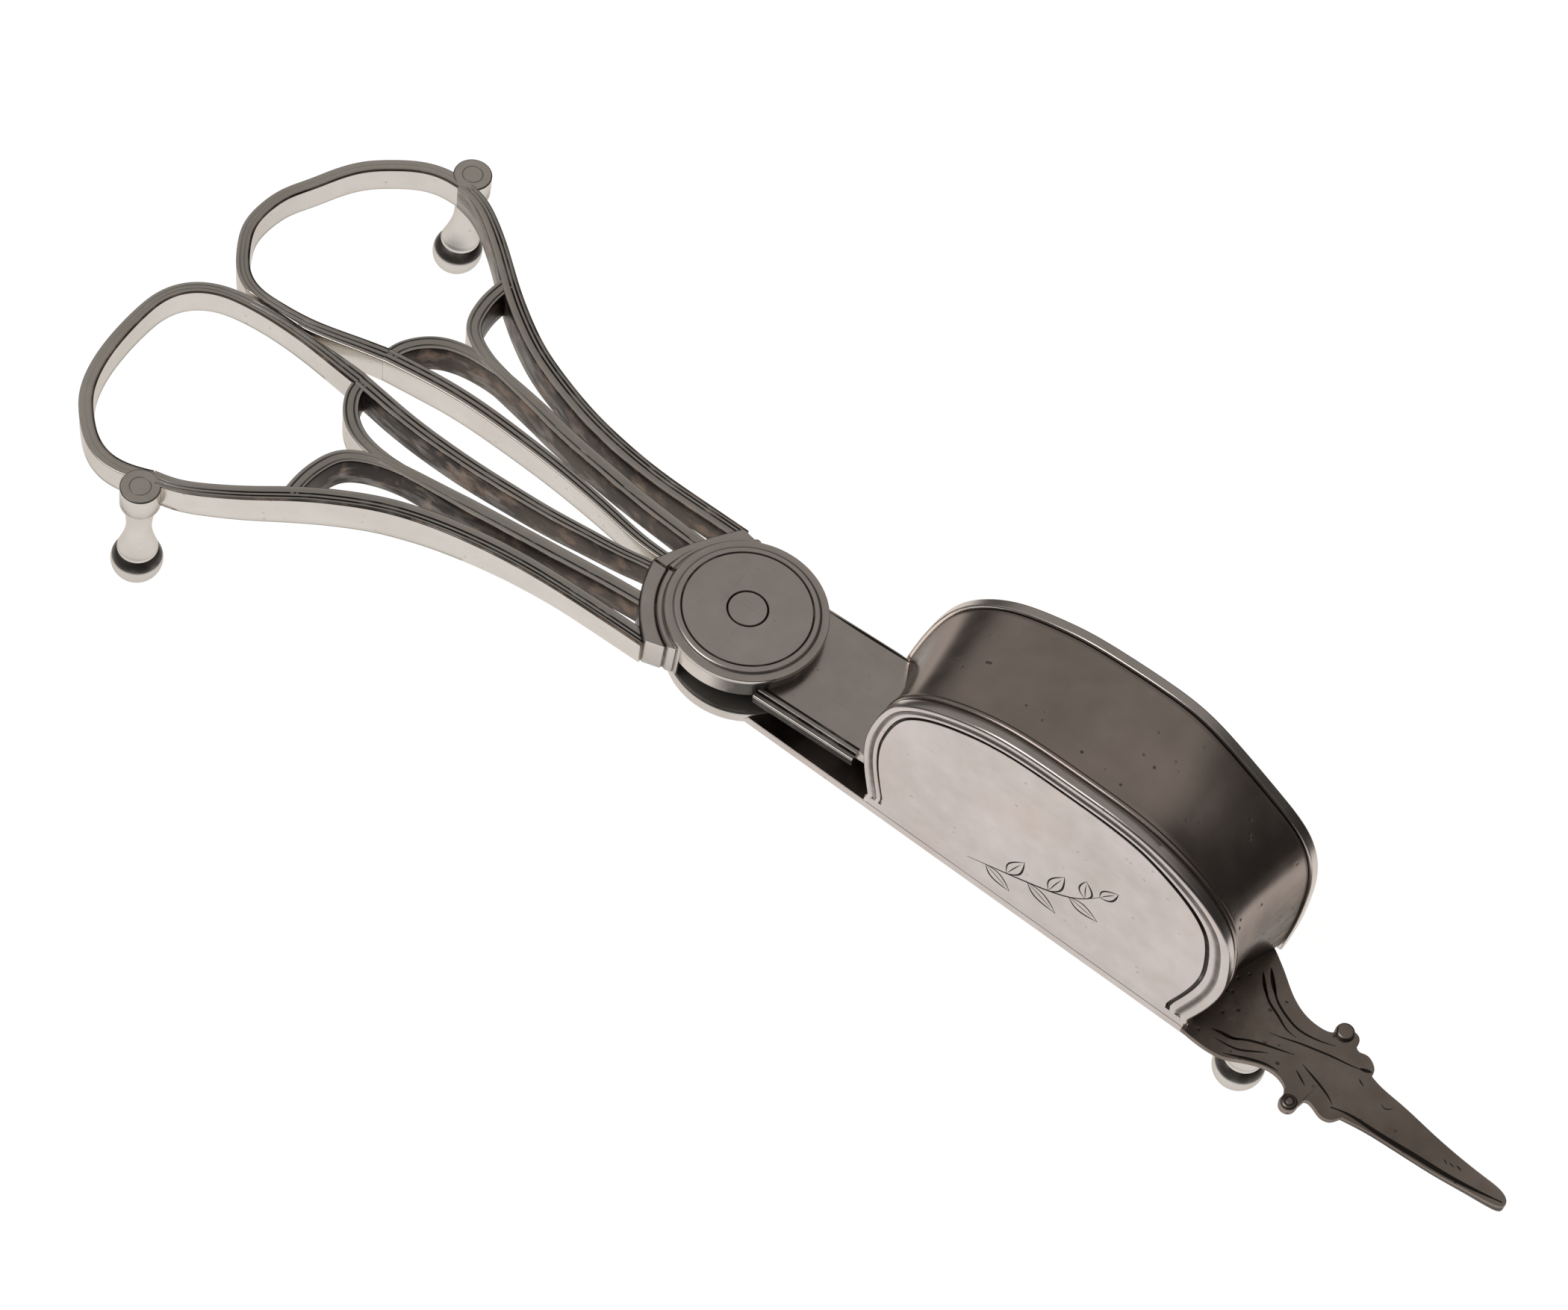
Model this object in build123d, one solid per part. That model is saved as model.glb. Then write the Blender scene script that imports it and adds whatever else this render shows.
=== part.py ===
"""Candle snuffer of the scissor kind: a box arm and a presser arm on one pivot rivet, on three ball feet.

+X runs along the snuffer to its point, -Y is the side with the box's panel, +Z is up.
The origin is under the middle of the snuffer, on the table.
"""
from build123d import *
from math import sqrt
import os

# Overall reaches, all measured from the pivot's axis
handle_reach = 79.0
jaw_reach = 103.9
lug_side_reach = 29.5

# Levels above the table
base_bottom = 13.4
disc_top = 22.0
rail_bottom = 16.1

# Pivot
upper_disc_radius = 8.9
upper_disc_top_radius = 8.3
upper_disc_thickness = 4.1
upper_disc_step = 0.9
upper_disc_edge_round = 0.35
lower_disc_radius = 8.5
lower_disc_thickness = 1.9
lower_disc_edge_round = 0.4
rivet_radius = 1.6
rivet_head_radius = 2.2
rivet_head_depth = 0.9
rivet_tail_radius = 3.2
rivet_tail_height = 0.8
washer_radius = 5.0
running_clearance = 0.05
turn_clearance = 0.4

# Handles
collar_radius = 12.4
collar_half_width = 9.6
collar_end_reach = 4.6
collar_top_drop = 1.5
handle_droop = 2.5
rail_height = 3.5
rail_width = 1.9
inner_rail_start_width = 1.3
inner_rail_end_width = 1.9
loop_width = 1.7
loop_touch_width = 1.5
arch_width = 1.5
touch_gap = 0.3
touch_side = -1.0
lug_radius = 2.3
lug_height = 3.9
lug_rise = 0.3
lug_share = 0.785

# Feet
foot_ball_radius = 3.0
foot_flat_radius = 1.5
foot_cup_radius = 2.45
foot_cup_height = 5.6
foot_neck_radius = 1.3
foot_neck_share = 0.42
foot_top_radius = 1.9
point_foot_share = 0.143

# Box
box_start = 20.5
box_end = 67.5
box_foot_inset = 1.7
box_pinch_inset = 2.0
box_pinch_height = 1.6
box_bulge_height = 11.6
box_height = 27.7
box_near_reach = 7.1
box_mouth_reach = 8.0
panel_thickness = 0.8
border_width = 2.5
border_proud = 0.4
roof_wall = 0.9
roof_set_back = 0.4
roof_bead_width = 0.8
roof_bead_set_back = 1.6
base_thickness = 1.2
blade_slot_clearance = 0.3

# Presser arm
neck_thickness = 1.5
neck_top_drop = 2.6
neck_near_start = 6.2
neck_near_end = 5.2
neck_far_start = 7.2
neck_moulding_width = 0.7
neck_moulding_rise = 0.3
neck_moulding_stop = 0.8
blade_reach = 63.0
blade_end_near = 2.0
presser_thickness = 1.3
presser_clearance = 0.1

# Point
point_thickness = 1.5
point_turn = 2.1
point_shift = 0.6
point_half_width = 7.0
point_waist_half = 3.85
point_waist_share = 0.278
point_scroll_share = 0.362
point_scroll_half = 5.6
point_scroll_radius = 1.2
point_notch_half = 4.1
point_notch_share = 0.409
point_leaf_share = 0.454
point_leaf_half = 4.8
point_leaf_end_share = 0.486
point_blade_half = 3.05
point_tip_radius = 0.9

# One overrun serves every cut
overrun = 5.0

pivot_x = (handle_reach - jaw_reach) / 2
lug_reach = handle_reach * lug_share
upper_disc_bottom = disc_top - upper_disc_thickness
lower_disc_top = base_bottom + lower_disc_thickness
rail_top = rail_bottom + rail_height
collar_top = disc_top - collar_top_drop
base_top = base_bottom + base_thickness
neck_top = disc_top - neck_top_drop
neck_bottom = neck_top - neck_thickness
slot_top = neck_top + blade_slot_clearance
box_middle = (box_start + box_end) / 2
box_bulge_half = (box_end - box_start) / 2
box_foot_half = box_bulge_half - box_foot_inset
box_pinch_half = box_bulge_half - box_pinch_inset
base_end = box_middle + box_foot_half
point_length = jaw_reach - base_end
pivot_axis = Pos(pivot_x, 0, 0)
on_table = (Align.CENTER, Align.CENTER, Align.MIN)

# The lug stands where the drooping handle has come down to
droop_place = Pos(pivot_x - collar_radius, 0, rail_top)
droop = droop_place * Rot(0, -handle_droop, 0) * droop_place.inverse()
lug_level = (droop * Pos(pivot_x - lug_reach, 0, rail_top)).position.Z
lug_top = lug_level + lug_rise
lug_bottom = lug_top - lug_height

# Handle lines as shares of the handle's reach and of the lug's side reach, both handles drawn on the +Y side
far_inner_rail_shares = [(0.120, 0.028), (0.190, 0.031), (0.253, 0.056), (0.316, 0.081), (0.380, 0.100),
                         (0.443, 0.112), (0.506, 0.119), (0.570, 0.114), (0.633, 0.095), (0.671, 0.081)]
near_inner_rail_shares = [(0.120, 0.034), (0.165, 0.043), (0.190, 0.056), (0.253, 0.078), (0.316, 0.097),
                          (0.380, 0.108), (0.443, 0.115), (0.506, 0.115), (0.570, 0.107), (0.633, 0.088),
                          (0.671, 0.075)]
far_middle_rail_shares = [(0.125, 0.158), (0.190, 0.170), (0.253, 0.185), (0.316, 0.207), (0.380, 0.231),
                          (0.443, 0.264), (0.506, 0.293), (0.572, 0.322)]
near_middle_rail_shares = [(0.125, 0.185), (0.190, 0.200), (0.253, 0.219), (0.316, 0.238), (0.380, 0.257),
                           (0.443, 0.277), (0.506, 0.296), (0.572, 0.322)]
far_outer_rail_shares = [(0.085, 0.294), (0.152, 0.295), (0.253, 0.302), (0.316, 0.322), (0.380, 0.356),
                         (0.456, 0.420), (0.506, 0.473), (0.557, 0.547), (0.608, 0.639), (0.658, 0.747),
                         (0.709, 0.847), (0.753, 0.912), (0.785, 0.936)]
near_outer_rail_shares = [(0.085, 0.322), (0.152, 0.323), (0.253, 0.330), (0.316, 0.344), (0.380, 0.371),
                          (0.456, 0.422), (0.506, 0.473), (0.557, 0.547), (0.608, 0.639), (0.658, 0.747),
                          (0.709, 0.847), (0.753, 0.912), (0.785, 0.936)]
far_loop_shares = [(0.671, 0.081), (0.715, 0.051), (0.760, 0.018), (0.804, -0.005), (0.848, -0.014),
                   (0.886, -0.010), (0.918, 0.024), (0.949, 0.115), (0.970, 0.230), (0.973, 0.339),
                   (0.967, 0.441), (0.955, 0.542), (0.939, 0.644), (0.917, 0.746), (0.886, 0.830),
                   (0.848, 0.902), (0.815, 0.931), (0.785, 0.936)]
near_loop_shares = [(0.671, 0.075), (0.715, 0.066), (0.760, 0.057), (0.823, 0.054), (0.886, 0.071),
                    (0.918, 0.097), (0.949, 0.146), (0.970, 0.208), (0.983, 0.280), (0.987, 0.373),
                    (0.984, 0.508), (0.978, 0.610), (0.967, 0.712), (0.947, 0.814), (0.923, 0.884),
                    (0.886, 0.957), (0.852, 0.982), (0.820, 0.972), (0.785, 0.936)]
outer_arch_shares = [(0.570, 0.335), (0.584, 0.369), (0.605, 0.417), (0.618, 0.481), (0.624, 0.559),
                     (0.625, 0.660)]
inner_arch_shares = [(0.563, 0.312), (0.582, 0.297), (0.611, 0.278), (0.635, 0.237), (0.652, 0.186),
                     (0.661, 0.132), (0.665, 0.088)]

# End-on outlines as shares of the bulge's half width and of the box's height: the box's above its bulge,
# and the presser's from the point's side over the top to the neck's side
box_shoulder_shares = [(0.985, 0.534), (0.960, 0.625), (0.916, 0.715), (0.803, 0.823), (0.634, 0.910),
                       (0.420, 0.975)]
presser_shares = [(1.038, -0.020), (1.051, 0.181), (1.047, 0.361), (1.019, 0.556), (0.919, 0.736),
                  (0.706, 0.864), (0.469, 0.969), (0.243, 1.043), (0.035, 1.058), (-0.167, 1.051),
                  (-0.366, 1.032), (-0.560, 0.986), (-0.749, 0.914), (-0.925, 0.784), (-1.006, 0.685),
                  (-1.077, 0.539), (-1.137, 0.339), (-1.209, -0.020)]
presser_start = box_middle + box_bulge_half * presser_shares[-1][0]


def prism(face, low, high):
    """Upright solid on a flat outline drawn about the pivot, from one level to another."""
    return pivot_axis * Pos(0, 0, low) * extrude(face, high - low)


def post(radius, low, high):
    """Upright cylinder on the pivot's axis."""
    return pivot_axis * Pos(0, 0, low) * Cylinder(radius, high - low, align=on_table)


def ribbon(points, start_width, end_width):
    """Flat strip along a smooth line through the points, its width running from one value to another."""
    line = Spline(*points)
    stations = 4 * len(points)
    left, right = [], []
    for k in range(stations + 1):
        along = k / stations
        place, heading = line @ along, line % along
        half = (start_width + (end_width - start_width) * along) / 2
        left.append((place.X - heading.Y * half, place.Y + heading.X * half))
        right.append((place.X + heading.Y * half, place.Y - heading.X * half))
    edges = [Spline(*left), Line(left[-1], right[-1]), Spline(*reversed(right)), Line(right[0], left[0])]
    return make_face(edges)


def largest(shape):
    """The main solid that is left after a cut."""
    return max(shape.solids(), key=lambda solid: solid.volume)


def round_top(solid, level, size):
    """Round the edges of a solid's top face."""
    return fillet(solid.edges().filter_by_position(Axis.Z, level, level), size)


def handle_places(shares):
    """Shares of the handle's reach and of the lug's side reach, as places."""
    return [(-handle_reach * along, lug_side_reach * across) for along, across in shares]


def clear_side(reach):
    """Everything on the +Y side of a line along the snuffer, less half the gap between the handles."""
    side = Rectangle(2 * handle_reach, lug_side_reach + overrun, align=(Align.CENTER, Align.MIN))
    return Pos(-handle_reach, reach + touch_gap / 2) * side


def lug():
    """Round pad on the outside of the finger loop, over the foot."""
    pad = Cylinder(lug_radius, lug_height, align=on_table)
    return Pos(pivot_x - lug_reach, lug_side_reach, lug_bottom) * pad


def collar(inner_radius, low):
    """Part ring round the pivot that the rails run into."""
    length = collar_radius + overrun - collar_end_reach
    side = Rectangle(length, collar_half_width - touch_gap / 2, align=(Align.MAX, Align.MIN))
    ring = Circle(collar_radius) - Circle(inner_radius)
    return prism(ring & (Pos(-collar_end_reach, touch_gap / 2) * side), low, collar_top)


def handle(inner_shares, middle_shares, outer_shares, loop_shares, touch):
    """Strips of one handle for the +Y side, each cut clear of the others, with its lug and foot."""
    loop = ribbon(handle_places(loop_shares), loop_touch_width, loop_width) & clear_side(touch)
    inner_line = handle_places(inner_shares)
    inner = (ribbon(inner_line, inner_rail_start_width, inner_rail_end_width) & clear_side(0)) - loop
    outer = ribbon(handle_places(outer_shares), rail_width, rail_width) - loop
    middle = ribbon(handle_places(middle_shares), rail_width, rail_width)
    outer_arch = ribbon(handle_places(outer_arch_shares), arch_width, arch_width) - outer - middle
    inner_arch = ribbon(handle_places(inner_arch_shares), arch_width, arch_width)
    inner_arch = inner_arch - inner - loop - middle - outer_arch
    faces = {"finger_loop": loop, "inner_rail": inner, "outer_rail": outer, "middle_rail": middle,
             "outer_arch": outer_arch, "inner_arch": inner_arch}
    keep_out = post(collar_radius, 0, 2 * disc_top)
    nodes = {}
    for name, face in faces.items():
        nodes[name] = largest(droop * prism(face, rail_bottom, rail_top) - keep_out - lug())
    nodes["foot_lug"] = lug()
    nodes["foot"] = foot(-lug_reach, lug_side_reach, lug_bottom)
    return nodes


def foot(reach, side, top):
    """Turned foot: a ball with a flat under it, a cup and a waisted stem."""
    ball_middle = sqrt(foot_ball_radius ** 2 - foot_flat_radius ** 2)
    cup_low = ball_middle + sqrt(foot_ball_radius ** 2 - foot_cup_radius ** 2)
    neck_level = foot_cup_height + (top - foot_cup_height) * foot_neck_share
    ball = ThreePointArc((foot_flat_radius, 0), (foot_ball_radius, ball_middle), (foot_cup_radius, cup_low))
    cup = Line((foot_cup_radius, cup_low), (foot_cup_radius, foot_cup_height))
    stem = Spline((foot_cup_radius, foot_cup_height), (foot_neck_radius, neck_level), (foot_top_radius, top))
    close = Polyline((foot_top_radius, top), (0, top), (0, 0), (foot_flat_radius, 0))
    profile = make_face([ball, cup, stem, close])
    return Pos(pivot_x + reach, side, 0) * revolve(Plane.XZ * profile, Axis.Z)


def shoulder(shares, grow):
    """One side of an end-on outline above the bulge, as places from the box's middle."""
    return [((box_bulge_half + grow) * half, (box_height + grow) * height) for half, height in shares]


def box_outline(grow):
    """The box's end-on outline: a wide arch that is drawn in above its foot."""
    right = [(box_pinch_half + grow, box_pinch_height), (box_bulge_half + grow, box_bulge_height)]
    right += shoulder(box_shoulder_shares, grow)
    left = [(-half, height) for half, height in reversed(right)]
    foot_half = box_foot_half + grow
    arch = Spline(*right, (0, box_height + grow), *left)
    near_foot = Line((foot_half, 0), right[0])
    far_foot = Line(left[-1], (-foot_half, 0))
    return make_face([arch, near_foot, far_foot, Line((-foot_half, 0), (foot_half, 0))])


def presser_outline():
    """The presser's outline: the box's on the point's side, leaning out to the neck on the other."""
    arch = [(box_bulge_half * half, box_height * height) for half, height in presser_shares]
    return make_face([Spline(*arch), Line(arch[-1], arch[0])])


def upright(face, near, far):
    """Solid on an end-on outline, between two planes across the snuffer."""
    solid = extrude(Plane.XZ * face, near - far)
    return Pos(pivot_x + box_middle, near, base_top) * solid


def below_slot():
    """Everything under the top of the blade's slot."""
    length = 2 * (handle_reach + jaw_reach)
    return Pos(0, 0, slot_top) * Box(length, length, length, align=(Align.CENTER, Align.CENTER, Align.MAX))


def upper_disc():
    step_level = disc_top - upper_disc_step
    rim = post(upper_disc_radius, upper_disc_bottom, step_level)
    disc = rim + post(upper_disc_top_radius, step_level, disc_top)
    disc = round_top(disc, disc_top, upper_disc_edge_round)
    hole = post(rivet_radius + running_clearance, upper_disc_bottom, disc_top)
    return disc - hole - rivet_cone(running_clearance)


def rivet_cone(clearance):
    """Sunk head of the rivet, or with a clearance the seat for it."""
    cone = Cone(rivet_radius + clearance, rivet_head_radius + clearance, rivet_head_depth, align=on_table)
    return pivot_axis * Pos(0, 0, disc_top - rivet_head_depth) * cone


def lower_disc():
    disc = post(lower_disc_radius, base_bottom, lower_disc_top)
    hole = post(rivet_radius, base_bottom, lower_disc_top)
    return round_top(disc, lower_disc_top, lower_disc_edge_round) - hole


def pivot_rivet():
    shank = post(rivet_radius, base_bottom, disc_top)
    tail = post(rivet_tail_radius, base_bottom - rivet_tail_height, base_bottom)
    return shank + rivet_cone(0) + tail


def pivot_washer():
    ring = Circle(washer_radius) - Circle(rivet_radius)
    return prism(ring, lower_disc_top, upper_disc_bottom)


def far_collar():
    """Collar of the box arm: on the lower disc, and clear of the upper disc that turns beside it."""
    clear = post(upper_disc_radius + turn_clearance, lower_disc_top, disc_top)
    return collar(lower_disc_radius, base_bottom) - clear


def near_collar():
    return mirror(collar(upper_disc_radius, rail_bottom), Plane.XZ)


def neck_plate():
    """Neck of the presser arm, running on as a blade inside the box."""
    blade_far = box_mouth_reach + presser_clearance
    corners = [(0, -neck_near_start), (box_start, -neck_near_end), (blade_reach, blade_end_near),
               (blade_reach, blade_far), (presser_start, blade_far), (0, neck_far_start)]
    face = make_face(Polyline(*corners, close=True)) - Circle(upper_disc_radius)
    return prism(face, neck_bottom, neck_top)


def neck_moulding():
    """Strip along the neck's near edge, from the disc to the box."""
    lean = (neck_near_start - neck_near_end) / box_start
    shift = neck_moulding_width * sqrt(1 + lean ** 2)
    stop = box_start - neck_moulding_stop
    end = -neck_near_start + lean * stop
    corners = [(0, -neck_near_start), (stop, end), (stop, end - shift), (0, -neck_near_start - shift)]
    strip = make_face(Polyline(*corners, close=True)) - Circle(upper_disc_radius)
    return prism(strip, neck_bottom - neck_moulding_rise, neck_top)


def presser_plate():
    near = box_mouth_reach + presser_clearance
    return upright(presser_outline(), near, near + presser_thickness)


def base_plate():
    plate = Rectangle(base_end, box_near_reach + box_mouth_reach, align=(Align.MIN, Align.MIN))
    return prism((Pos(0, -box_near_reach) * plate) - Circle(lower_disc_radius), base_bottom, base_top)


def box_panel():
    near = -box_near_reach + border_proud
    return upright(box_outline(0), near, near + panel_thickness)


def box_border():
    ring = box_outline(0) - box_outline(-border_width)
    return upright(ring, -box_near_reach, -box_near_reach + border_proud)


def box_roof():
    near = -box_near_reach + border_proud + panel_thickness
    shell = box_outline(-roof_set_back) - box_outline(-roof_set_back - roof_wall)
    roof = upright(shell, near, box_mouth_reach)
    neck_side = Pos(pivot_x + box_middle - jaw_reach, 0, 0) * Box(2 * jaw_reach, jaw_reach, jaw_reach)
    return roof - (below_slot() & neck_side)


def roof_bead():
    near = -box_near_reach + roof_bead_set_back
    ring = box_outline(0) - box_outline(-roof_set_back)
    return upright(ring, near, near + roof_bead_width) - below_slot()


def along_point(share):
    """Reach of a place on the point, from a share of its length."""
    return base_end + point_length * share


def point_outline():
    """The point seen from above: drawn-in flanks, a scroll and a leaf on each side, and a long taper."""
    tip = jaw_reach - point_tip_radius
    root = base_end - overrun
    scroll = (along_point(point_scroll_share), point_scroll_half)
    waist = (along_point(point_waist_share), point_waist_half)
    middle = (along_point(point_waist_share / 2), (point_half_width + point_waist_half) / 2)
    flank = Spline((base_end, point_half_width), middle, waist, scroll)
    notch = (along_point(point_notch_share), point_notch_half)
    leaf_end = (along_point(point_leaf_end_share), point_blade_half)
    leaf = Spline(notch, (along_point(point_leaf_share), point_leaf_half), leaf_end)
    taper = Line(leaf_end, (tip, point_tip_radius))
    straight = Line((root, point_half_width), (base_end, point_half_width))
    side = [straight, flank, Line(scroll, notch), leaf, taper]
    end = ThreePointArc((tip, point_tip_radius), (jaw_reach, 0), (tip, -point_tip_radius))
    other = [mirror(edge, Plane.XZ) for edge in side]
    face = make_face(side + [end] + other + [Line((root, -point_half_width), (root, point_half_width))])
    for hand in (1, -1):
        face += Pos(scroll[0], hand * point_scroll_half) * Circle(point_scroll_radius)
    return face


def point():
    turned = Pos(base_end, -point_shift) * Rot(0, 0, -point_turn) * Pos(-base_end, 0) * point_outline()
    clear = Pos(base_end, 0) * Rectangle(jaw_reach, jaw_reach, align=(Align.MIN, Align.CENTER))
    return prism(turned & clear, base_bottom, base_bottom + point_thickness)


def build():
    nodes = {"upper_disc": upper_disc(), "lower_disc": lower_disc(), "pivot_rivet": pivot_rivet(),
             "pivot_washer": pivot_washer(), "near_collar": near_collar(), "far_collar": far_collar(),
             "neck_plate": neck_plate(), "neck_moulding": neck_moulding(), "presser_plate": presser_plate(),
             "base_plate": base_plate(), "box_panel": box_panel(), "box_border": box_border(),
             "box_roof": box_roof(), "roof_bead": roof_bead(), "point": point(),
             "point_foot": foot(along_point(point_foot_share), 0, base_bottom)}
    far = handle(far_inner_rail_shares, far_middle_rail_shares, far_outer_rail_shares, far_loop_shares,
                 touch_side)
    near = handle(near_inner_rail_shares, near_middle_rail_shares, near_outer_rail_shares, near_loop_shares,
                  -touch_side)
    for name, solid in far.items():
        nodes["far_" + name] = solid
    for name, solid in near.items():
        nodes["near_" + name] = mirror(solid, Plane.XZ)
    return nodes


os.makedirs("parts", exist_ok=True)
for node, solid in build().items():
    export_step(solid, f"parts/{node}.step")
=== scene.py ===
"""Candle snuffers in worn silver: reeded handles, a moulded wick box and a long point, on three ball feet.

All sizes are in millimetres about the pivot's axis and turned into metres where a piece is placed.
"""
import math
import bmesh
import bpy
import numpy as np
from mathutils import Matrix, Vector, noise


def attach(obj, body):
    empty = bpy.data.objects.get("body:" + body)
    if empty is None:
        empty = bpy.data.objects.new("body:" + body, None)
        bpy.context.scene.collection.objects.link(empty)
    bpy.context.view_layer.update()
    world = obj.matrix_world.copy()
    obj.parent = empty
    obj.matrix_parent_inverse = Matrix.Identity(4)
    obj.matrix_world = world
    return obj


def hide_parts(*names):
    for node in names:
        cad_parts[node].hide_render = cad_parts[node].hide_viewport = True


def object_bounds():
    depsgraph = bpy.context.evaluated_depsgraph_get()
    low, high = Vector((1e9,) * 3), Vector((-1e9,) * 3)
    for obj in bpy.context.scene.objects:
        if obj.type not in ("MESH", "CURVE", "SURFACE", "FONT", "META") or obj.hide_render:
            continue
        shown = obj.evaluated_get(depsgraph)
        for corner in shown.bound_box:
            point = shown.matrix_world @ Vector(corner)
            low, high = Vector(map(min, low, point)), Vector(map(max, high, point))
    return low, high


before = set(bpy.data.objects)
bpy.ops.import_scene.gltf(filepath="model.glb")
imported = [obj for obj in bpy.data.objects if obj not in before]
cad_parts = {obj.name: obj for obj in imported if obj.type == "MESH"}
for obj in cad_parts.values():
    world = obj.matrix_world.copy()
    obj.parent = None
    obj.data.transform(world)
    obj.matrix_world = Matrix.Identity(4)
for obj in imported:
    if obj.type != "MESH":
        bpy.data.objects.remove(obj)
cad_low, cad_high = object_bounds()

MM = 0.001
PIVOT_X = -12.45
DISC_TOP = 22.0

# Handles
HANDLE_REACH = 79.0
LUG_SIDE = 29.5
RAIL_BOTTOM = 16.1
RAIL_HEIGHT = 3.5
RAIL_TOP = RAIL_BOTTOM + RAIL_HEIGHT
DROOP = math.radians(2.5)
DROOP_X = -12.4
LUG_X = -62.015
LUG_RADIUS = 2.3
LUG_TOP = 17.47
LUG_BOTTOM = 13.84
FAR_TOUCH = -0.85
NEAR_TOUCH = 1.15

# Wick box
BOX_MIDDLE = 44.0
BOX_BULGE_HALF = 23.5
BOX_HEIGHT = 27.7
BASE_TOP = 14.6
BASE_BOTTOM = 13.4
PANEL_FACE = -6.9
SLOT_HEIGHT = 5.1

# Point
POINT_FOOT_X = 71.25
POINT_TOP = 14.9
POINT_EDGE = 14.2

# Handle lines as shares of the handle's reach and of the lug's side reach
FAR_LINES = {
    "inner_rail": [(0.120, 0.028), (0.190, 0.031), (0.253, 0.056), (0.316, 0.081), (0.380, 0.100),
                   (0.443, 0.112), (0.506, 0.119), (0.570, 0.114), (0.633, 0.095), (0.671, 0.081)],
    "middle_rail": [(0.125, 0.158), (0.190, 0.170), (0.253, 0.185), (0.316, 0.207), (0.380, 0.231),
                    (0.443, 0.264), (0.506, 0.293), (0.560, 0.314)],
    "outer_rail": [(0.085, 0.294), (0.152, 0.295), (0.253, 0.302), (0.316, 0.322), (0.380, 0.356),
                   (0.456, 0.420), (0.506, 0.475), (0.557, 0.553), (0.608, 0.649), (0.658, 0.757),
                   (0.709, 0.857), (0.753, 0.918), (0.785, 0.936)],
    "finger_loop": [(0.671, 0.081), (0.715, 0.051), (0.760, 0.018), (0.804, -0.005), (0.848, -0.014),
                    (0.886, -0.010), (0.918, 0.024), (0.950, 0.115), (0.973, 0.230), (0.977, 0.339),
                    (0.971, 0.441), (0.955, 0.542), (0.939, 0.644), (0.917, 0.746), (0.886, 0.830),
                    (0.848, 0.902), (0.815, 0.931), (0.785, 0.936)],
}
NEAR_LINES = {
    "inner_rail": [(0.120, 0.034), (0.165, 0.043), (0.190, 0.056), (0.253, 0.078), (0.316, 0.097),
                   (0.380, 0.108), (0.443, 0.115), (0.506, 0.115), (0.570, 0.107), (0.633, 0.088),
                   (0.671, 0.075)],
    "middle_rail": [(0.125, 0.185), (0.190, 0.200), (0.253, 0.219), (0.316, 0.238), (0.380, 0.257),
                    (0.443, 0.277), (0.506, 0.296), (0.560, 0.314)],
    "outer_rail": [(0.085, 0.322), (0.152, 0.323), (0.253, 0.330), (0.316, 0.344), (0.380, 0.371),
                   (0.456, 0.422), (0.506, 0.473), (0.557, 0.547), (0.608, 0.639), (0.658, 0.747),
                   (0.709, 0.847), (0.753, 0.912), (0.785, 0.936)],
    "finger_loop": [(0.671, 0.075), (0.715, 0.066), (0.760, 0.057), (0.823, 0.054), (0.886, 0.068),
                    (0.920, 0.089), (0.952, 0.134), (0.973, 0.197), (0.984, 0.272), (0.987, 0.373),
                    (0.984, 0.508), (0.978, 0.610), (0.967, 0.712), (0.947, 0.814), (0.923, 0.884),
                    (0.886, 0.957), (0.852, 0.982), (0.820, 0.972), (0.785, 0.936)],
}
ARCH_LINES = {
    "outer_arch": [(0.490, 0.293), (0.525, 0.308), (0.554, 0.324), (0.582, 0.354), (0.607, 0.408),
                   (0.618, 0.480), (0.622, 0.559), (0.620, 0.660)],
    "inner_arch": [(0.490, 0.286), (0.525, 0.298), (0.557, 0.304), (0.585, 0.298), (0.613, 0.278),
                   (0.637, 0.239), (0.654, 0.188), (0.664, 0.133), (0.667, 0.088)],
}

# Outlines from the end, as shares of the bulge's half width and of the box's height
BOX_SHOULDER = [(0.985, 0.534), (0.960, 0.625), (0.916, 0.715), (0.803, 0.823), (0.634, 0.910),
                (0.420, 0.975)]
PRESSER_SHARES = [(1.038, -0.020), (1.051, 0.181), (1.047, 0.361), (1.019, 0.556), (0.919, 0.736),
                  (0.706, 0.864), (0.469, 0.969), (0.243, 1.043), (0.035, 1.058), (-0.167, 1.051),
                  (-0.366, 1.032), (-0.560, 0.986), (-0.749, 0.914), (-0.925, 0.784), (-1.006, 0.685),
                  (-1.077, 0.539), (-1.137, 0.339), (-1.209, -0.020)]


def place(x, y, z):
    """A point about the pivot, in millimetres, as a point of the model."""
    return Vector((x + PIVOT_X, y, z)) * MM


# Camera: turn, tilt and lean in degrees, the way to it from the disc's top, and its lens
CAMERA_ANGLES = (-24.19, 57.39, 14.51)
CAMERA_BACK = 470.14
CAMERA_RIGHT = 3.98
CAMERA_DOWN = 5.12
LENS_LENGTH = 97.96
SENSOR_WIDTH = 36


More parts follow.
